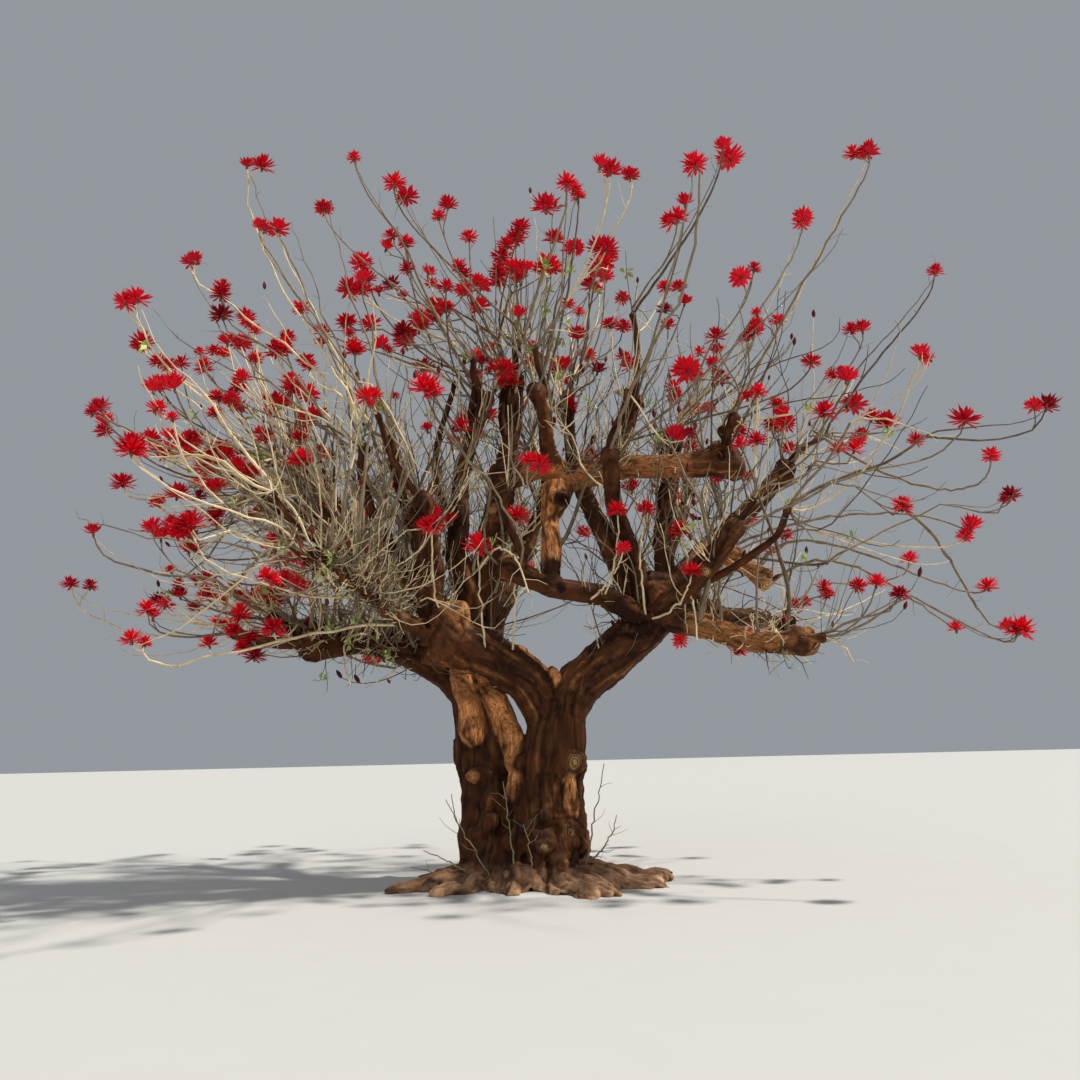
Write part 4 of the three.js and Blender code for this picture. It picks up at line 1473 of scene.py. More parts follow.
    def grow(self, start, heading, tips, kinds, tone):
        """One shoot, which forks until each of its tips is reached."""
        if len(tips) == 1:
            self.reach_tip(start, heading, tips[0], kinds[0], tone)
            return
        away = tips.mean(0) - start
        nearest = float(np.linalg.norm(tips - start, axis=1).min())
        length = min(float(np.linalg.norm(away)), nearest) * self.rng.uniform(*self.FORK_SHARES)
        course = unit(away) + UP * self.ARCH * max(0.0, 1 - 1.6 * abs(float(unit(away)[2])))
        fork = start + unit(course + self.jitter(0.09 * self.curl)) * length
        arrival = unit(unit(away) + UP * 0.15 + self.jitter(0.13 * self.curl))
        points = self.arc(start, heading, fork, arrival, 0.03)
        left = float(np.linalg.norm(tips - fork, axis=1).mean())
        radii = [self.thickness(len(tips), rest) for rest in (left + length, left)]
        self.add(points, *radii, tone)
        onward = unit(points[-1] - points[-2])
        for group in self.split(tips, fork):
            towards = unit(tips[group].mean(0) - fork)
            turn = unit(onward * 0.45 + towards * 0.7 + self.jitter(0.14 * self.curl))
            self.grow(fork, turn, tips[group], [kinds[k] for k in group], tone)

    def split(self, tips, origin):
        """Tips in two groups, by which of the two that lie furthest apart each is nearer to."""
        headings = units(tips - origin)
        gaps = headings @ headings.T
        first, second = np.unravel_index(np.argmin(gaps), gaps.shape)
        nearer = gaps[first] >= gaps[second]
        nearer[first], nearer[second] = True, False
        return [np.flatnonzero(nearer), np.flatnonzero(~nearer)]

    def leaders(self, headings, count):
        """Tips in about that many groups of like heading."""
        centres = headings[self.rng.choice(len(headings), count, replace=False)]
        for _ in range(6):
            nearest = (headings @ centres.T).argmax(1)
            for k in range(count):
                if (nearest == k).any():
                    centres[k] = unit(headings[nearest == k].mean(0))
        return [np.flatnonzero(nearest == k) for k in range(count) if (nearest == k).any()]

    def add_twiglets(self, chance):
        """Small dead twigs along the shoots."""
        for points, _, tone in list(self.shoots):
            for k in range(1, len(points) - 1):
                if self.rng.random() > chance:
                    continue
                along = unit(points[k + 1] - points[k - 1])
                out = unit(np.cross(along, self.jitter(1.0)))
                heading = unit(out + along * 0.6 + UP * 0.25)
                reach = self.rng.uniform(*self.TWIG_REACHES)
                bend = points[k] + heading * reach * 0.55
                end = bend + unit(heading + self.jitter(0.35)) * reach * 0.45
                self.add(np.array([points[k], bend, end]), *self.TWIG_RADII, tone)


def outer_area(corners, triangles, knob):
    """How much of each triangle faces away from the knob."""
    a, b, c = (corners[triangles[:, k]] for k in range(3))
    across = np.cross(b - a, c - a) / 2
    middle = (a + b + c) / 3
    return np.maximum((across * units(middle - knob)).sum(1), 0)


# How far inside a mass's face its ordinary tips stay, as a share of the way from its knob, and how far from
# the knob those of its corners lie that may be tips.
INSET = 0.06
FAR = 0.9

# How many points are tried for each tip, and how far in a mass the flowering and the bare tips go, with the
# share of them that is spread evenly.
TRIES = 9
HEAD_DEPTHS = (0.36, 0.4)
BARE_DEPTHS = (0.75, 0.3)

# How many tips share a small knob, a stout shoot, a thin shoot and a shoot from a knob.
TIPS_ON_KNOB = 8.0
TIPS_ON_STOUT = 6.0
TIPS_ON_THIN = 1.5
TIPS_FROM_KNOB = 1.7

# A knob's radius with one tip, and how it grows with more, and how far out to its tips it stands.
KNOB_RADIUS = 0.009
KNOB_GROWTH = 0.0017
KNOB_REACHES = (0.15, 0.55)

# How many bare side shoots a knob has, from the first up to but without the second, and how long they are.
SIDE_SHOOTS = (3, 8)
SIDE_REACHES = (0.25, 0.9)

# How many of a mass's limbs lead on from its bough, and their radius against the bough's.
LEADING_LIMBS = 3
LEADING_SHARE = 0.30
NO_LEADERS = ["crown_right", "crown_right_mid", "crown_left_front"]

# How far shoots that start together spread apart and cross their neighbours.
CROSSING = 0.16


def spread_tips(rng, corners, triangles, knob, count, depth, even, lift=0.0):
    """Points within a mass, its furthest first. depth is how far in they go, even the share evenly spread,
    lift how strongly the others keep to its upper part."""
    weights = outer_area(corners, triangles, knob)
    chosen = rng.choice(len(triangles), count * TRIES, p=weights / weights.sum())
    u, v = rng.random((2, len(chosen), 1))
    folded = (u + v) > 1
    u, v = np.where(folded, 1 - u, u), np.where(folded, 1 - v, v)
    a, b, c = (corners[triangles[chosen, k]] for k in range(3))
    places = a + u * (b - a) + v * (c - a)
    places = knob + (places - knob) * (1 - INSET - depth * rng.random((len(places), 1)) ** 1.2)
    far = corners[np.linalg.norm(corners - knob, axis=1) > FAR]
    pool = np.vstack([far, places])
    gap = np.linalg.norm(pool - knob, axis=1)
    picked = [int(gap.argmax())]
    nearest = np.linalg.norm(pool - pool[picked[0]], axis=1)
    while len(picked) < int(count * even):
        best = int((nearest * (0.6 + 0.4 * gap / gap.max())).argmax())
        picked.append(best)
        nearest = np.minimum(nearest, np.linalg.norm(pool - pool[best], axis=1))
    heights = places[:, 2] - places[:, 2].min()
    chances = (heights / heights.max() + 0.03) ** lift
    more = rng.choice(len(places), count - len(picked), replace=False, p=chances / chances.sum())
    picked += list(more + len(far))
    tips = pool[picked]
    length = np.linalg.norm(tips - knob, axis=1, keepdims=True)
    return knob + (tips - knob) * np.maximum(0.3, 1 - 0.03 / length)


def leave_bough(growth, bough, towards):
    """Where a shoot leaves the end of a bough, and its direction out of the bark there."""
    rng = growth.rng
    line, _ = wood.lines[bough]
    if bough not in SAWN_OFF and (rng.random() < 0.5 or len(line) < 3):
        out = unit(towards * 0.75 + growth.jitter(0.5))
        return line[0] + out * wood.girth[bough] * 0.4, out
    behind = 0.9 if bough in SAWN_OFF else 0.0
    share = behind + rng.random() ** 1.3 * (min(3.2, len(line) - 1.2) - behind)
    middle, axis, radius = wood.point(bough, share)
    side = towards - axis * float(towards @ axis)
    out = unit(side + axis * 0.3 + UP * 0.25 + growth.jitter(0.25))
    return middle + out * radius * 0.35, out


def grow_mass(growth, mass, bough, count):
    """All the shoots of one mass: from its bough's end, the wood behind it, and small knobs further out."""
    growth.rng = rng = np.random.default_rng(seed_of(mass))
    settings = growth.settings
    corners, triangles = welded(*node_arrays(mass))
    knob = wood.lines[bough][0][0]
    bare = int(count * BARE_TIPS[growth.side])
    lift = HEAD_LIFTS.get(mass, HEAD_LIFTS[growth.side])
    tips = np.vstack([
        spread_tips(rng, corners, triangles, knob, count, *HEAD_DEPTHS, lift),
        spread_tips(rng, corners, triangles, knob, bare, *BARE_DEPTHS),
    ])
    kinds = ["head"] * count + ["bare"] * bare
    order = rng.permutation(len(tips))
    on_knobs = int(len(tips) * settings.knob_share)
    stout = on_knobs + int((len(tips) - on_knobs) * settings.stout_share)
    knob_groups = grouped(growth, order[:on_knobs], tips, knob, TIPS_ON_KNOB)
    for k, group in enumerate(sorted(knob_groups, key=len, reverse=True)):
        stoutness = LEADING_SHARE if k < LEADING_LIMBS and mass not in NO_LEADERS else 0.0
        grow_from_knob(growth, bough, knob, tips[group], [kinds[k] for k in group], stoutness)
    for chosen, tips_each in ((order[on_knobs:stout], TIPS_ON_STOUT), (order[stout:], TIPS_ON_THIN)):
        for group in grouped(growth, chosen, tips, knob, tips_each):
            towards = unit(tips[group].mean(0) - knob)
            start, out = leave_bough(growth, bough, towards)
            heading = arching(growth, towards, out)
            growth.set_vigour("bough")
            growth.grow(start, heading, tips[group], [kinds[k] for k in group], growth.tone())


def arching(growth, towards, out):
    """The way a shoot sets off: out of the bark and upwards, more so where it reaches far sideways."""
    lift = 0.15 + 0.5 * max(0.0, 1 - max(float(towards[2]), 0.0) * 1.6)
    return unit(towards * 0.5 + out * 0.4 + UP * lift + growth.jitter(0.2))


def grouped(growth, chosen, tips, origin, tips_each):
    """The chosen tips in groups of like heading, of about so many tips each."""
    headings = units(units(tips[chosen] - origin) + growth.rng.normal(0, CROSSING, (len(chosen), 3)))
    return [chosen[group] for group in growth.leaders(headings, max(1, round(len(chosen) / tips_each)))]


def grow_from_knob(growth, bough, knob, tips, kinds, stoutness):
    """A limb that runs part of the way to its tips and ends in a small knob, and the shoots on that."""
    rng = growth.rng
    away = tips.mean(0) - knob
    reach = float(np.linalg.norm(away))
    start, out = leave_bough(growth, bough, unit(away))
    end = knob + unit(unit(away) + growth.jitter(0.2)) * reach * rng.uniform(*KNOB_REACHES)
    heading = unit(unit(away) * 0.6 + out * 0.6 + growth.jitter(0.22))
    radius = max(KNOB_RADIUS + KNOB_GROWTH * len(tips) ** 0.7, wood.girth[bough] * stoutness)
    middle = growth.add_limb(start, heading, end, radius)
    for group in grouped(growth, np.arange(len(tips)), tips, middle, TIPS_FROM_KNOB):
        towards = unit(tips[group].mean(0) - middle)
        growth.set_vigour("knob")
        turn = unit(towards * 0.55 + growth.jitter(0.45) + UP * 0.1)
        growth.grow(middle, turn, tips[group], [kinds[k] for k in group], growth.tone())
    for _ in range(rng.integers(*SIDE_SHOOTS)):
        growth.set_vigour("thin")
        turn = unit(unit(away) * 0.4 + UP * 0.6 + growth.jitter(0.5))
        tip = middle + unit(turn + UP * 0.4) * rng.uniform(*SIDE_REACHES)
        growth.grow(middle, turn, tip[None, :], ["bare"], growth.tone())


# How steeply sprouts rise and how far down a bough they stand, where no other number is given.
USUAL_RISE = 0.8
USUAL_REACH = 0.85

# How likely a long upright shoot on a bough flowers, how long such shoots are, and from what length they may.
SPROUT_FLOWERING = 0.045
UPRIGHT_REACHES = (1.0, 2.1)
FLOWERING_REACH = 1.0

# How long the other sprouts are at least and at most, before the level and hanging ones are shortened.
SPROUT_REACHES = (0.15, 1.9)

# How far down a bough its spurs stand, how long they are, their radii, and how many are pale, grey and brown.
SPUR_REACH = 0.7
SPUR_LENGTHS = (0.12, 0.42)
SPUR_RADII = (0.0075, 0.003)
SPUR_TONES = (0.5, 0.3, 0.2)

# The shoots that are placed one by one: their courses, radii at start and end, tone and whether they flower.
STRAYS = [
    (SUCKERS, (0.011, 0.004), GREY, False),
    (WHIPS, (0.012, 0.008), PALE, False),
    (RISING_SHOOTS, (0.0125, 0.008), PALE, True),
    (ARCHES, (0.019, 0.008), GREY, True),
]

# How many points a listed shoot has for each point of its course, and how far they wander.
STRAY_POINTS = 7
STRAY_WANDER = 0.009


def leave_bark(rng, name, reach, lift, lean):
    """A place on a bough's bark up to a share of the way down it, and the ways out of it and along it."""
    line, _ = wood.lines[name]
    middle, along, radius = wood.point(name, rng.uniform(0.0, reach) * (len(line) - 1))
    side = rng.normal(0, 1, 3) + UP * lift + FORWARD * lean
    side = unit(side - along * float(side @ along))
    return middle + side * radius * 0.5, side, along


def grow_sprouts(growth):
    """Thin upright shoots along all the boughs, most of them bare, and short dead spurs on some."""
    for name, (line, _) in wood.lines.items():
        growth.rng = np.random.default_rng(seed_of(name))
        length = np.linalg.norm(np.diff(line, axis=0), axis=1).sum()
        for _ in range(int(growth.settings.sprouts * length * THICKETS.get(name, 1.0))):
            grow_sprout(growth, name)
        for _ in range(int(SPURS.get(name, 0) * length)):
            grow_spur(growth, name)


def grow_sprout(growth, name):
    """One thin shoot on a bough, or now and then a stout upright one."""
    rng = growth.rng
    lift = RISES.get(name, USUAL_RISE)
    start, side, _ = leave_bark(rng, name, REACHES.get(name, USUAL_REACH), lift, LEANS.get(name, 0.0))
    heading = unit(side * 0.7 + UP * lift + growth.jitter(0.3))
    least, most = SPROUT_REACHES
    reach = min(least + rng.gamma(2.2, 0.27), most) * float(np.clip(1.1 + 1.5 * heading[2], 0.35, 1))
    growth.set_vigour("thin")
    if rng.random() < growth.settings.upright_share:
        heading = unit(side * 0.3 + UP + growth.jitter(0.12))
        reach = rng.uniform(*UPRIGHT_REACHES)
        growth.set_vigour("upright")
    middle = start + unit(heading + UP * 0.35) * reach
    tips = middle + rng.normal(0, 0.17 * reach, (rng.integers(1, 4), 3))
    kinds = ["head" if reach > FLOWERING_REACH and rng.random() < SPROUT_FLOWERING else "bare" for _ in tips]
    growth.grow(start, heading, tips, kinds, growth.tone())


def grow_spur(growth, name):
    """One short dead spur on a bough."""
    rng = growth.rng
    start, side, along = leave_bark(rng, name, SPUR_REACH, 0.2, 0.3)
    heading = unit(side + along * rng.uniform(0, 1.5) + growth.jitter(0.3))
    half = rng.uniform(*SPUR_LENGTHS) * 0.5
    bend = start + heading * half
    end = bend + unit(heading + growth.jitter(0.45)) * half
    growth.add(np.array([start, bend, end]), *SPUR_RADII, int(rng.choice(3, p=SPUR_TONES)))


def grow_strays(growth):
    """The suckers at the foot, the whips on the low boughs, the shoots before the fork and the arches."""
    for strays, radii, tone, flowers in STRAYS:
        for handles in strays:
            share = np.linspace(0, 1, STRAY_POINTS * len(handles))[:, None]
            curves = [np.array(handle) + 0 * share for handle in handles]
            while len(curves) > 1:
                curves = [near + (far - near) * share for near, far in zip(curves, curves[1:])]
            wander = growth.rng.normal(0, STRAY_WANDER, (len(share), 3)) * np.sin(math.pi * share)
            points = curves[0] + wander
            growth.add(points, *radii, tone)
            if flowers:
                growth.add_head(points[-1], unit(UP + growth.jitter(0.2)))


# A shoot has three sides, and one more for each of these radii that it passes.
SIDE_RADII = [0.0045, 0.009, 0.018]


def tube_sides(radius):
    """How many sides a shoot of that radius has."""
    return int(np.searchsorted(SIDE_RADII, radius)) + 3


def tube_rings(points, radii, sides):
    """Rings of corners round a line, their four-cornered faces, and the way the line runs at each corner."""
    turn = np.arange(sides) * 2 * math.pi / sides
    tangents = units(np.gradient(points, axis=0))
    guide = np.array([1.0, 0.0, 0.0]) if abs(tangents[0][0]) < 0.8 else np.array([0.0, 1.0, 0.0])
    across = units(guide - tangents * (tangents @ guide)[:, None])
    beside = np.cross(tangents, across)
    cosines, sines = np.cos(turn)[None, :, None], np.sin(turn)[None, :, None]
    spread = across[:, None, :] * cosines + beside[:, None, :] * sines
    corners = points[:, None, :] + spread * radii[:, None, None]
    rows = np.arange(len(points) - 1)[:, None] * sides
    here = rows + np.arange(sides)
    beyond = rows + (np.arange(sides) + 1) % sides
    faces = np.stack([here, beyond, beyond + sides, here + sides], axis=2).reshape(-1, 4)
    return corners.reshape(-1, 3), faces, np.repeat(tangents, sides, axis=0)


def tubes(shoots):
    """Shoots as one set of corners and four-cornered faces, with each face's tone."""
    pile = Pile()
    for points, radii, tone in shoots:
        corners, faces, _ = tube_rings(points, radii, tube_sides(radii[0]))
        pile.add(corners, faces, tone)
    return pile.joined()


# How far apart the rings of a barked limb lie, how many corners each has, and its bark's scale.
LIMB_STEP = 0.032
LIMB_SIDES = 12
LIMB_GRAIN = 0.42
LIMB_FURROWS = 0.26


def limb_skin(limbs):
    """Thick limbs as dense tubes, with the way their wood runs and their bark's places at each corner."""
    pile, along_sets, course_sets = Pile(), [], []
    for points, radii in limbs:
        marks = path_marks(points)
        places = np.linspace(0, marks[-1], max(8, int(marks[-1] / LIMB_STEP)))
        line = path_points(points, marks, places)
        for _ in range(3):
            line[1:-1] = (line[:-2] + 2 * line[1:-1] + line[2:]) / 4
        corners, faces, along = tube_rings(line, np.interp(places, marks, radii), LIMB_SIDES)
        off = corners - np.repeat(line, LIMB_SIDES, axis=0)
        pile.add(corners, faces)
        along_sets.append(along)
        course_sets.append(line[0] + off + along * np.repeat(places, LIMB_SIDES)[:, None] * GRAIN_SHARE)
    corners, faces, _ = pile.joined()
    return corners, faces, np.vstack(along_sets), np.vstack(course_sets)


def shoot_material(name, colour, dark):
    """Smooth thin bark with pale blotches and dark rings at its nodes."""
    paint = Paint(name)
    blotches = paint.noise(0.09, 4.0)
    specks = paint.noise(0.012, 3.0)
    shaded = paint.blend(colour, dark, paint.ramp(blotches, 0.38, 0.72) * 0.65)
    shown = paint.blend(shaded, dark, paint.ramp(specks, 0.58, 0.72) * 0.5)
    return paint.finish({
        "Base Color": shown,
        "Roughness": 0.62 + 0.25 * specks,
        "Normal": paint.bump(specks, 0.004, 0.8),
        "Specular IOR Level": 0.3,
    })


# What has grown on each side of the crown and on the boughs.
growths = {}


def head_counts(heads):
    """How many flowering tips each mass has, by how much of it faces out and how thickly it flowers."""
    weights = {}
    for side in CROWN.values():
        for mass, bough in side.items():
            corners, triangles = node_arrays(mass)
            area = outer_area(corners, triangles, wood.lines[bough][0][0]).sum()
            weights[mass] = area * FLOWERING.get(mass, 1.0)
    total = sum(weights.values())
    return {mass: round(heads * weight / total) for mass, weight in weights.items()}


def add_shoots(name, growth, materials, nodes=()):
    """A piece made of all the thin shoots that have grown, with their dead twigs."""
    growth.add_twiglets(growth.settings.twiglets)
    corners, faces, tones = tubes(growth.shoots)
    place_piece(add_mesh(name, corners, faces, materials, tones), nodes)


def add_limb_bark(settings):
    """A piece made of the thick limbs of all sides, in the boughs' bark."""
    limbs = [limb for growth in growths.values() for limb in growth.limbs]
    corners, faces, along, course = limb_skin(limbs)
    depths = (settings.furrow_depth * LIMB_FURROWS, settings.wrinkle_depth * LIMB_FURROWS)
    corners, values = bark_relief(corners, faces, along, depths, scale=LIMB_GRAIN)
    add_bark("limb_bark", corners, faces, values, course, bpy.data.materials["coral_bark"])


class ShootPieces(bpy.types.Operator):
    """Grow the bare shoots of every mass, the sprouts on the boughs and the suckers at the foot."""

    bl_idname = "coral_tree.shoots"
    bl_label = "Shoots"

    def execute(self, context):
        settings = context.scene.coral_shoots
        materials = [
            shoot_material("shoot_pale", settings.pale_colour, settings.grey_colour),
            shoot_material("shoot_grey", settings.grey_colour, settings.brown_colour),
            shoot_material("shoot_brown", settings.brown_colour, settings.grey_colour),
        ]
        counts = head_counts(context.scene.coral_blossom.heads)
        for side, masses in CROWN.items():
            growths[side] = Growth(settings, side)
            for mass, bough in masses.items():
                grow_mass(growths[side], mass, bough, counts[mass])
            add_shoots("shoots_" + side, growths[side], materials, masses)
        add_limb_bark(context.scene.coral_bark)
        growths["sprouts"] = Growth(settings, "boughs")
        grow_sprouts(growths["sprouts"])
        grow_strays(growths["sprouts"])
        add_shoots("shoots_on_boughs", growths["sprouts"], materials)
        return {"FINISHED"}


# A petal's cross rows: how far out each lies, its half-width and its keel's depth, as shares of its length.
PETAL_ROWS = [(0.30, 0.080, 0.035), (0.70, 0.122, 0.050)]
PETAL_FACES = np.array([
    (0, 1, 2), (0, 2, 3), (1, 4, 5), (1, 5, 2), (2, 5, 6), (2, 6, 3), (4, 7, 5), (5, 7, 6),
])

# A closed bud's rows up its stem and their radii, as shares of its length.
BUD_STEPS = (-0.1, 0.2, 0.55, 0.85, 1.05)
BUD_RADII = (0.10, 0.24, 0.26, 0.14, 0.02)

# A head's whorls from the lowest: petals, elevation in degrees, length as a share, and height up the stem.
WHORLS = [
    (12, -15, 0.95, 0.00),
    (13, 3, 1.05, 0.04),
    (11, 22, 0.97, 0.09),
    (8, 43, 0.85, 0.13),
    (5, 64, 0.75, 0.16),
    (2, 82, 0.68, 0.18),
]


def petal(direction, lift):
    """A keeled petal from the origin, one unit long, whose tip lifts or droops."""
    side = unit(np.cross(direction, UP) + np.array([1e-4, 0, 0]))
    keel = np.cross(direction, side)
    corners = [direction * 0]
    for out, half_width, depth in PETAL_ROWS:
        middle = direction * out + UP * lift * out**2
        corners += [middle + side * half_width, middle + keel * depth, middle - side * half_width]
    return np.array([*corners, direction + UP * lift])


def flower_head(rng, openness):
    """One head about the origin with its stem along +Z, in units of a petal's length."""
    pile = Pile()
    for count, elevation, length, height in WHORLS:
        start = rng.uniform(0, 2 * math.pi)
        for k in range(count):
            turn = start + (k + rng.uniform(-0.3, 0.3)) * 2 * math.pi / count
            slope = math.radians(90 - (90 - elevation) * openness + rng.uniform(-8, 8))
            out = math.cos(slope)
            direction = np.array([out * math.cos(turn), out * math.sin(turn), math.sin(slope)])
            corners = petal(direction, rng.uniform(-0.14, 0.30) * out)
            pile.add(corners * length * rng.uniform(0.84, 1.1) + UP * height, PETAL_FACES)
    corners, faces, _ = pile.joined()
    return corners, faces


def turned(corners, axis, spin):
    """Corners turned so that +Z lies along axis, after a spin about it."""
    return corners @ np.array(turn_onto(axis) @ Matrix.Rotation(spin, 3, "Z")).T


def petal_material(name, colour, dark):
    """Soft petals that darken in blotches, with faint lengthwise veins."""
    paint = Paint(name)
    blotches = paint.noise(0.035, 3.0)
    veins = paint.noise(0.006, 2.0)
    shown = paint.blend(colour, dark, paint.ramp(blotches, 0.48, 0.80) * 0.6)
    return paint.finish({
        "Base Color": paint.blend(shown, dark, veins * 0.25),
        "Roughness": 0.5 + 0.2 * veins,
        "Normal": paint.bump(veins, 0.002, 0.5),
        "Specular IOR Level": 0.15,
    })


# How far each kind of head has opened, how many heads have each of the three reds, the place of a bud's
# material, and the blossom's seed.
OPENINGS = (1.0, 1.0, 0.95, 0.9, 0.82, 0.6)
RED_SHARES = (0.55, 0.41, 0.04)
BUD_TONE = 3
BLOSSOM_SEED = 300


def bud(place, axis, size):
    """A closed bud, as points and radii up its axis with its tone."""
    return place + np.outer(BUD_STEPS, axis) * size, np.array(BUD_RADII) * size, BUD_TONE


class BlossomPieces(bpy.types.Operator):
    """Set the flower heads and buds on the shoots' tips."""

    bl_idname = "coral_tree.blossom"
    bl_label = "Blossom"

    def execute(self, context):
        settings = context.scene.coral_blossom
        materials = [
            petal_material("petal_scarlet", settings.scarlet, settings.crimson),
            petal_material("petal_crimson", settings.crimson, settings.wine),
            petal_material("petal_wine", settings.wine, tuple(0.4 * part for part in settings.wine)),
            petal_material("bud_dark", settings.bud_colour, settings.wine),
        ]
        rng = np.random.default_rng(BLOSSOM_SEED)
        moulds = [flower_head(rng, openness) for openness in OPENINGS]
        for side, growth in growths.items():
            pile = Pile()
            for place, axis, size in growth.heads:
                corners, faces = moulds[rng.integers(len(moulds))]
                tone = rng.choice(3, p=RED_SHARES)
                corners = turned(corners, axis, rng.uniform(0, 2 * math.pi))
                pile.add(corners * settings.head_radius * size + place, faces, tone)
            if growth.buds:
                buds = [bud(place, axis, settings.bud_length * size) for place, axis, size in growth.buds]
                corners, faces, _ = tubes(buds)
                pile.add(corners, np.vstack([faces[:, [0, 1, 2]], faces[:, [0, 2, 3]]]), BUD_TONE)
            corners, faces, tones = pile.joined()
            piece = add_mesh("blossom_" + side, corners, faces, materials, tones, smooth=False)
            place_piece(piece)
        return {"FINISHED"}


def leaf_material(name, colour, dark):
    """Young leaves, mottled, with a soft shine."""
    paint = Paint(name)
    mottle = paint.noise(0.03, 3.0)
    veins = paint.noise(0.005, 2.0)
    return paint.finish({
        "Base Color": paint.blend(colour, dark, paint.ramp(mottle, 0.35, 0.75)),
        "Roughness": 0.45 + 0.2 * veins,
        "Normal": paint.bump(veins, 0.002, 0.6),
    })


# A leaflet one unit long, folded along its middle.
BLADE = np.array([(0, 0, 0), (0.45, 0.26, 0.10), (1, 0, 0), (0.45, -0.26, 0.10), (0.5, 0, -0.02)])
BLADE_FACES = np.array([(0, 4, 1), (1, 4, 2), (2, 4, 3), (3, 4, 0)])

# How many leaflets a tuft has, from the first up to but without the second, how widely they spread, how their
# sizes vary, how long their stalks are, and the leaves' seed.
LEAFLETS = (6, 13)
LEAF_SPREAD = 0.8
LEAF_SIZES = (0.6, 1.4)
STALKS = (0.0, 0.05)
LEAF_SEED = 400


class LeafPieces(bpy.types.Operator):
    """Put the few tufts of young leaves on the shoots."""

    bl_idname = "coral_tree.leaves"
    bl_label = "Young leaves"

    def execute(self, context):
        settings = context.scene.coral_leaves
        materials = [
            leaf_material("leaf_fresh", settings.fresh_green, settings.olive_green),
            leaf_material("leaf_olive", settings.olive_green, settings.fresh_green),
        ]
        rng = np.random.default_rng(LEAF_SEED)
        places = [knot for growth in growths.values() for knot in growth.knots]
        pile = Pile()
        for index in rng.choice(len(places), settings.tufts, replace=False):
            place, axis = places[index]
            tone = int(rng.integers(2))
            for _ in range(int(rng.integers(*LEAFLETS))):
                heading = unit(axis + rng.normal(0, LEAF_SPREAD, 3))
                length = settings.leaf_length * rng.uniform(*LEAF_SIZES)
                stalk = heading * rng.uniform(*STALKS)
                leaflet = BLADE @ np.array(turn_onto(heading, (1, 0, 0))).T * length
                pile.add(leaflet + place + stalk, BLADE_FACES, tone)
        corners, faces, tones = pile.joined()
        place_piece(add_mesh("young_leaves", corners, faces, materials, tones))
        return {"FINISHED"}


# The light of the sky, and the suns: the way to each, its strength, its softness in degrees and its colour.
SKY_COLOUR = (0.86, 0.93, 1.0, 1)
SKY_STRENGTH = 0.34
SUNS = {
    "key_sun": ((0.80, -0.05, 1.0), 4.3, 2.5, (1.0, 0.95, 0.87)),
    "fill_sun": ((-0.3, -1.0, 0.6), 0.40, 40.0, (0.90, 0.94, 1.0)),
}

# The width of the camera's sensor in millimetres.
SENSOR = 36.0


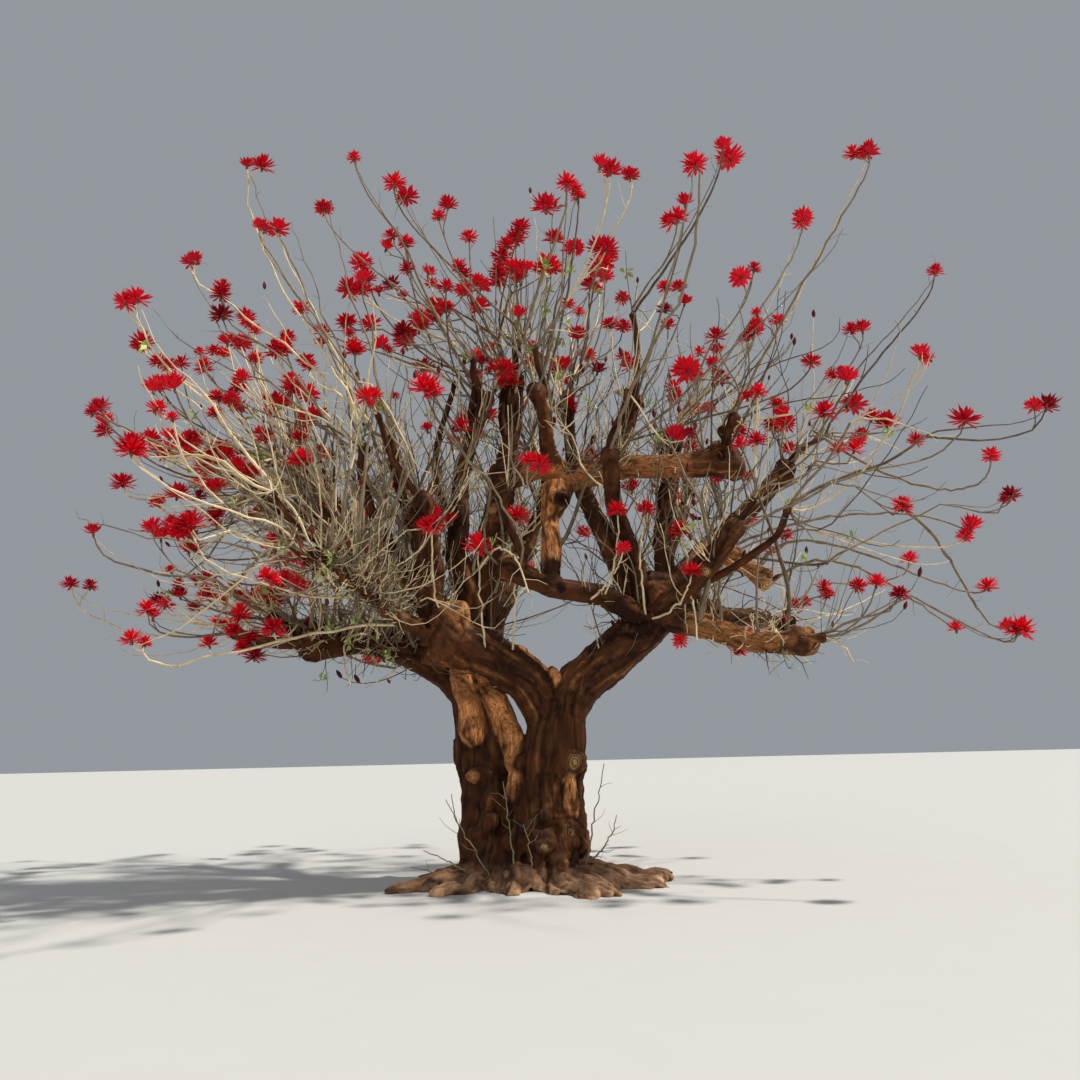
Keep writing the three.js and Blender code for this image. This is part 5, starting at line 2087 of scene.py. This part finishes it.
class Stage(bpy.types.Operator):
    """Lay the floor, and set the lights and the camera."""

    bl_idname = "coral_tree.stage"
    bl_label = "Stage"

    # Half the floor's side.
    FLOOR_HALF = 60.0

    def execute(self, context):
        settings = context.scene.coral_stage
        half = self.FLOOR_HALF
        corners = np.array([(-half, -half, 0), (half, -half, 0), (half, half, 0), (-half, half, 0)])
        paint = Paint("studio_floor")
        grain = paint.noise(0.5, 3.0)
        pale = tuple(settings.floor_colour)
        floor_paint = paint.finish({
            "Base Color": paint.blend(pale, tuple(0.96 * part for part in pale), grain),
            "Roughness": 0.8 + 0.1 * grain,
        })
        floor = add_mesh("studio_floor", corners, np.array([[0, 1, 2, 3]]), [floor_paint], smooth=False)

        world = bpy.data.worlds.new("studio_sky")
        world.use_nodes = True
        background = world.node_tree.nodes["Background"]
        background.inputs["Color"].default_value = SKY_COLOUR
        background.inputs["Strength"].default_value = SKY_STRENGTH
        context.scene.world = world

        for name, sun in SUNS.items():
            self.add_sun(name, *sun)

        camera = bpy.data.cameras.new("photo_camera")
        camera.sensor_fit = "HORIZONTAL"
        camera.sensor_width = SENSOR
        camera.lens = settings.lens
        viewer = bpy.data.objects.new("photo_camera", camera)
        turn = Matrix.Rotation(math.pi / 2 + settings.tilt, 4, "X") @ Matrix.Rotation(-settings.roll, 4, "Z")
        place = Matrix.Translation((settings.eye_offset, -settings.eye_distance, settings.eye_height))
        viewer.matrix_world = place @ turn
        context.scene.collection.objects.link(viewer)
        context.scene.camera = viewer
        context.scene.view_settings.view_transform = "Standard"
        return {"FINISHED"}

    @staticmethod
    def add_sun(name, towards, strength, softness, colour):
        light = bpy.data.lights.new(name, "SUN")
        light.energy = strength
        light.angle = math.radians(softness)
        light.color = colour
        lamp = bpy.data.objects.new(name, light)
        lamp.rotation_euler = Vector(towards).to_track_quat("Z", "Y").to_euler()
        bpy.context.scene.collection.objects.link(lamp)


class TreePanel(bpy.types.Panel):
    """Lists the tree's pieces in the sidebar."""

    bl_idname = "VIEW3D_PT_coral_tree"
    bl_label = "Coral Tree"
    bl_space_type = "VIEW_3D"
    bl_region_type = "UI"
    bl_category = "Coral Tree"

    def draw(self, context):
        for name, operator in OPERATORS.items():
            box = self.layout.box()
            box.operator(operator.bl_idname)
            settings = getattr(context.scene, name)
            for key in settings.bl_rna.properties.keys():
                if key not in ("rna_type", "name"):
                    box.prop(settings, key)


SETTINGS = {
    "coral_bark": BarkSettings,
    "coral_shoots": ShootSettings,
    "coral_blossom": BlossomSettings,
    "coral_leaves": LeafSettings,
    "coral_stage": StageSettings,
}
OPERATORS = {
    "coral_bark": WoodPieces,
    "coral_shoots": ShootPieces,
    "coral_blossom": BlossomPieces,
    "coral_leaves": LeafPieces,
    "coral_stage": Stage,
}
CLASSES = [*SETTINGS.values(), *OPERATORS.values(), TreePanel]


def register():
    for cls in CLASSES:
        bpy.utils.register_class(cls)
    for name, cls in SETTINGS.items():
        setattr(bpy.types.Scene, name, PointerProperty(type=cls))


def unregister():
    for name in SETTINGS:
        delattr(bpy.types.Scene, name)
    for cls in reversed(CLASSES):
        bpy.utils.unregister_class(cls)


def main():
    register()
    bpy.ops.coral_tree.wood()
    bpy.ops.coral_tree.shoots()
    bpy.ops.coral_tree.blossom()
    bpy.ops.coral_tree.leaves()
    bpy.ops.coral_tree.stage()


if __name__ == "__main__":
    main()
